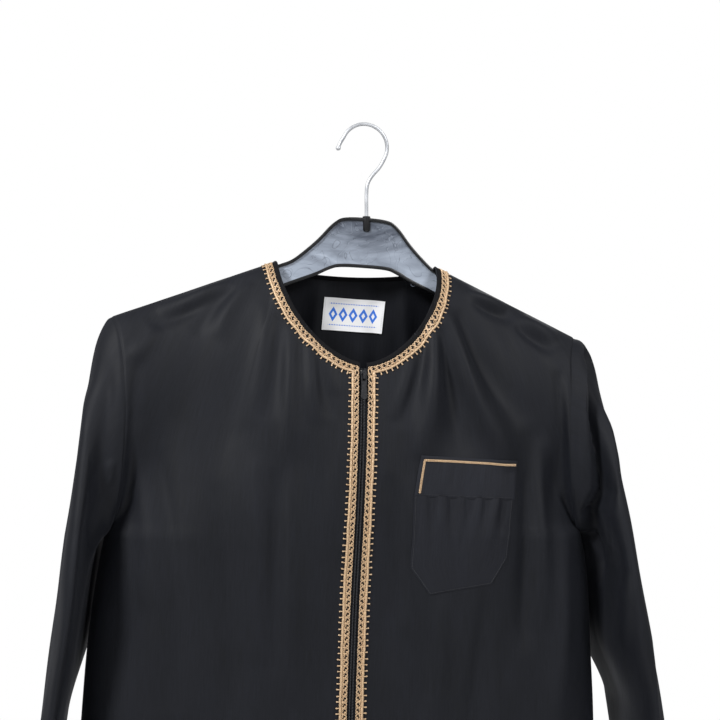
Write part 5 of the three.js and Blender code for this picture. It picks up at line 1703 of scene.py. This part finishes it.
def metal_fittings():
    """Zip slider and pull: the frame's own solids with eased edges and dark metal."""
    for node in ("zip_slider", "zip_pull"):
        piece = bpy.data.objects[node]
        piece.data.materials.clear()
        piece.data.materials.append(LOOKS["metal"])
        bevel = piece.modifiers.new("eased_edges", "BEVEL")
        bevel.width, bevel.segments, bevel.limit_method = 0.00025, 2, "ANGLE"


STOP_RADII = [0.7, 0.95, 0.95, 0.95, 0.7]


def top_stops(material):
    """Small bent stops at the top of the chain, one on each tape."""
    parts = []
    z = np.linspace(ZIP["top_z"] - 1.5, ZIP["top_z"] - 5.0, 5)
    line, normals = zip_line(z)
    for sign in (-1, 1):
        rail = line.copy()
        rail[:, 0] += sign * 2.1
        parts.append(tube(rail + normals * 0.35, normals, np.array(STOP_RADII), 8))
    stitch_piece("zip_top_stops", parts, material)


rails = np.arange(-0.5, 11.01, 0.5)
pieces = {
    "front_left": front_piece("left", LOOKS["cloth"]),
    "front_right": front_piece("right", LOOKS["cloth"]),
    "back": back_piece(LOOKS["cloth"]),
    "sleeve_left": sleeve_piece("left", LOOKS["cloth"]),
    "sleeve_right": sleeve_piece("right", LOOKS["cloth"]),
    "pocket": pocket_body(LOOKS["pocket"]),
    "pocket_band": pocket_band(LOOKS["band"]),
    "pocket_stitch": pocket_stitch(LOOKS["braid"]),
    "pocket_seams": pocket_seams(LOOKS["thread"]),
    "label": neck_label(LOOKS["label"], LOOKS["white_thread"]),
    "binding": binding(LOOKS["binding"]),
}
hem_stitches(LOOKS["thread"])
for number, name in enumerate(("left", "right")):
    lane = front_lane(name, TRIM["start"], rails, ZIP_BOTTOM - 2)
    pieces[f"braid_{name}"] = braid(f"braid_{name}", lane, LOOKS["braid"], [f"trim_{name}"],
                                    11 + number)
    pieces[f"tape_{name}"] = zip_tape(name, LOOKS["tape"])
pieces["braid_back"] = braid("braid_back", back_lane(TRIM["start"], rails), LOOKS["braid"],
                             ["trim_back"], 17)
zip_coil(LOOKS["coil"], LOOKS["thread"])
top_stops(LOOKS["bright"])
metal_fittings()
blade_web(LOOKS["web"])
blade_rim(LOOKS["rim"])
web_marks(LOOKS["mark"])
hook_boss(LOOKS["rim"])
hook(LOOKS["steel"])

# ------------------------------------------------------------------ floor, lights and camera


def make_floor():
    """Pale floor below the hem."""
    size, level = 2.2, (HEM_Z - 60) * MM
    mesh = bpy.data.meshes.new("floor")
    corners = [(-size, -size, level), (size, -size, level), (size, size, level), (-size, size, level)]
    mesh.from_pydata(corners, [], [(0, 1, 2, 3)])
    floor = bpy.data.objects.new("floor", mesh)
    bpy.context.scene.collection.objects.link(floor)
    mesh.materials.append(plain_look("floor_paint", linear(246, 246, 246), linear(252, 252, 252),
                                     3, 0.9))


# Lamps: name, place, width across and power. All of them point at the chest.
LAMPS = [
    ("key", (-1.7, -1.3, 1.25), 0.5, 70),
    ("fill", (1.4, -1.9, 1.1), 0.8, 40),
    ("behind", (0.6, 2.2, 0.9), 1.4, 14),
]
LAMP_TARGET = (0.0, 0.0, -0.35)
ROOM_LIGHT = 0.31


def soft_light(name, place, size, power):
    lamp = bpy.data.lights.new(name, "AREA")
    lamp.shape, lamp.size, lamp.energy = "DISK", size, power
    stand = bpy.data.objects.new(name, lamp)
    bpy.context.scene.collection.objects.link(stand)
    stand.location = place
    towards = Vector(LAMP_TARGET) - Vector(place)
    stand.rotation_euler = towards.to_track_quat("-Z", "Y").to_euler()


def make_lights():
    """The lamps, and a room that lights softly and is seen white."""
    for lamp in LAMPS:
        soft_light(*lamp)
    world = bpy.data.worlds.new("room")
    world.use_nodes = True
    tree = world.node_tree
    tree.nodes.clear()
    lit, seen = tree.nodes.new("ShaderNodeBackground"), tree.nodes.new("ShaderNodeBackground")
    for background, strength in ((lit, ROOM_LIGHT), (seen, 1.0)):
        background.inputs["Color"].default_value = (1, 1, 1, 1)
        background.inputs["Strength"].default_value = strength
    rays, pick = tree.nodes.new("ShaderNodeLightPath"), tree.nodes.new("ShaderNodeMixShader")
    out = tree.nodes.new("ShaderNodeOutputWorld")
    tree.links.new(rays.outputs["Is Camera Ray"], pick.inputs["Fac"])
    tree.links.new(lit.outputs["Background"], pick.inputs[1])
    tree.links.new(seen.outputs["Background"], pick.inputs[2])
    tree.links.new(pick.outputs["Shader"], out.inputs["Surface"])
    bpy.context.scene.world = world


make_camera()
make_floor()
make_lights()
bpy.context.scene.view_settings.view_transform = "Standard"
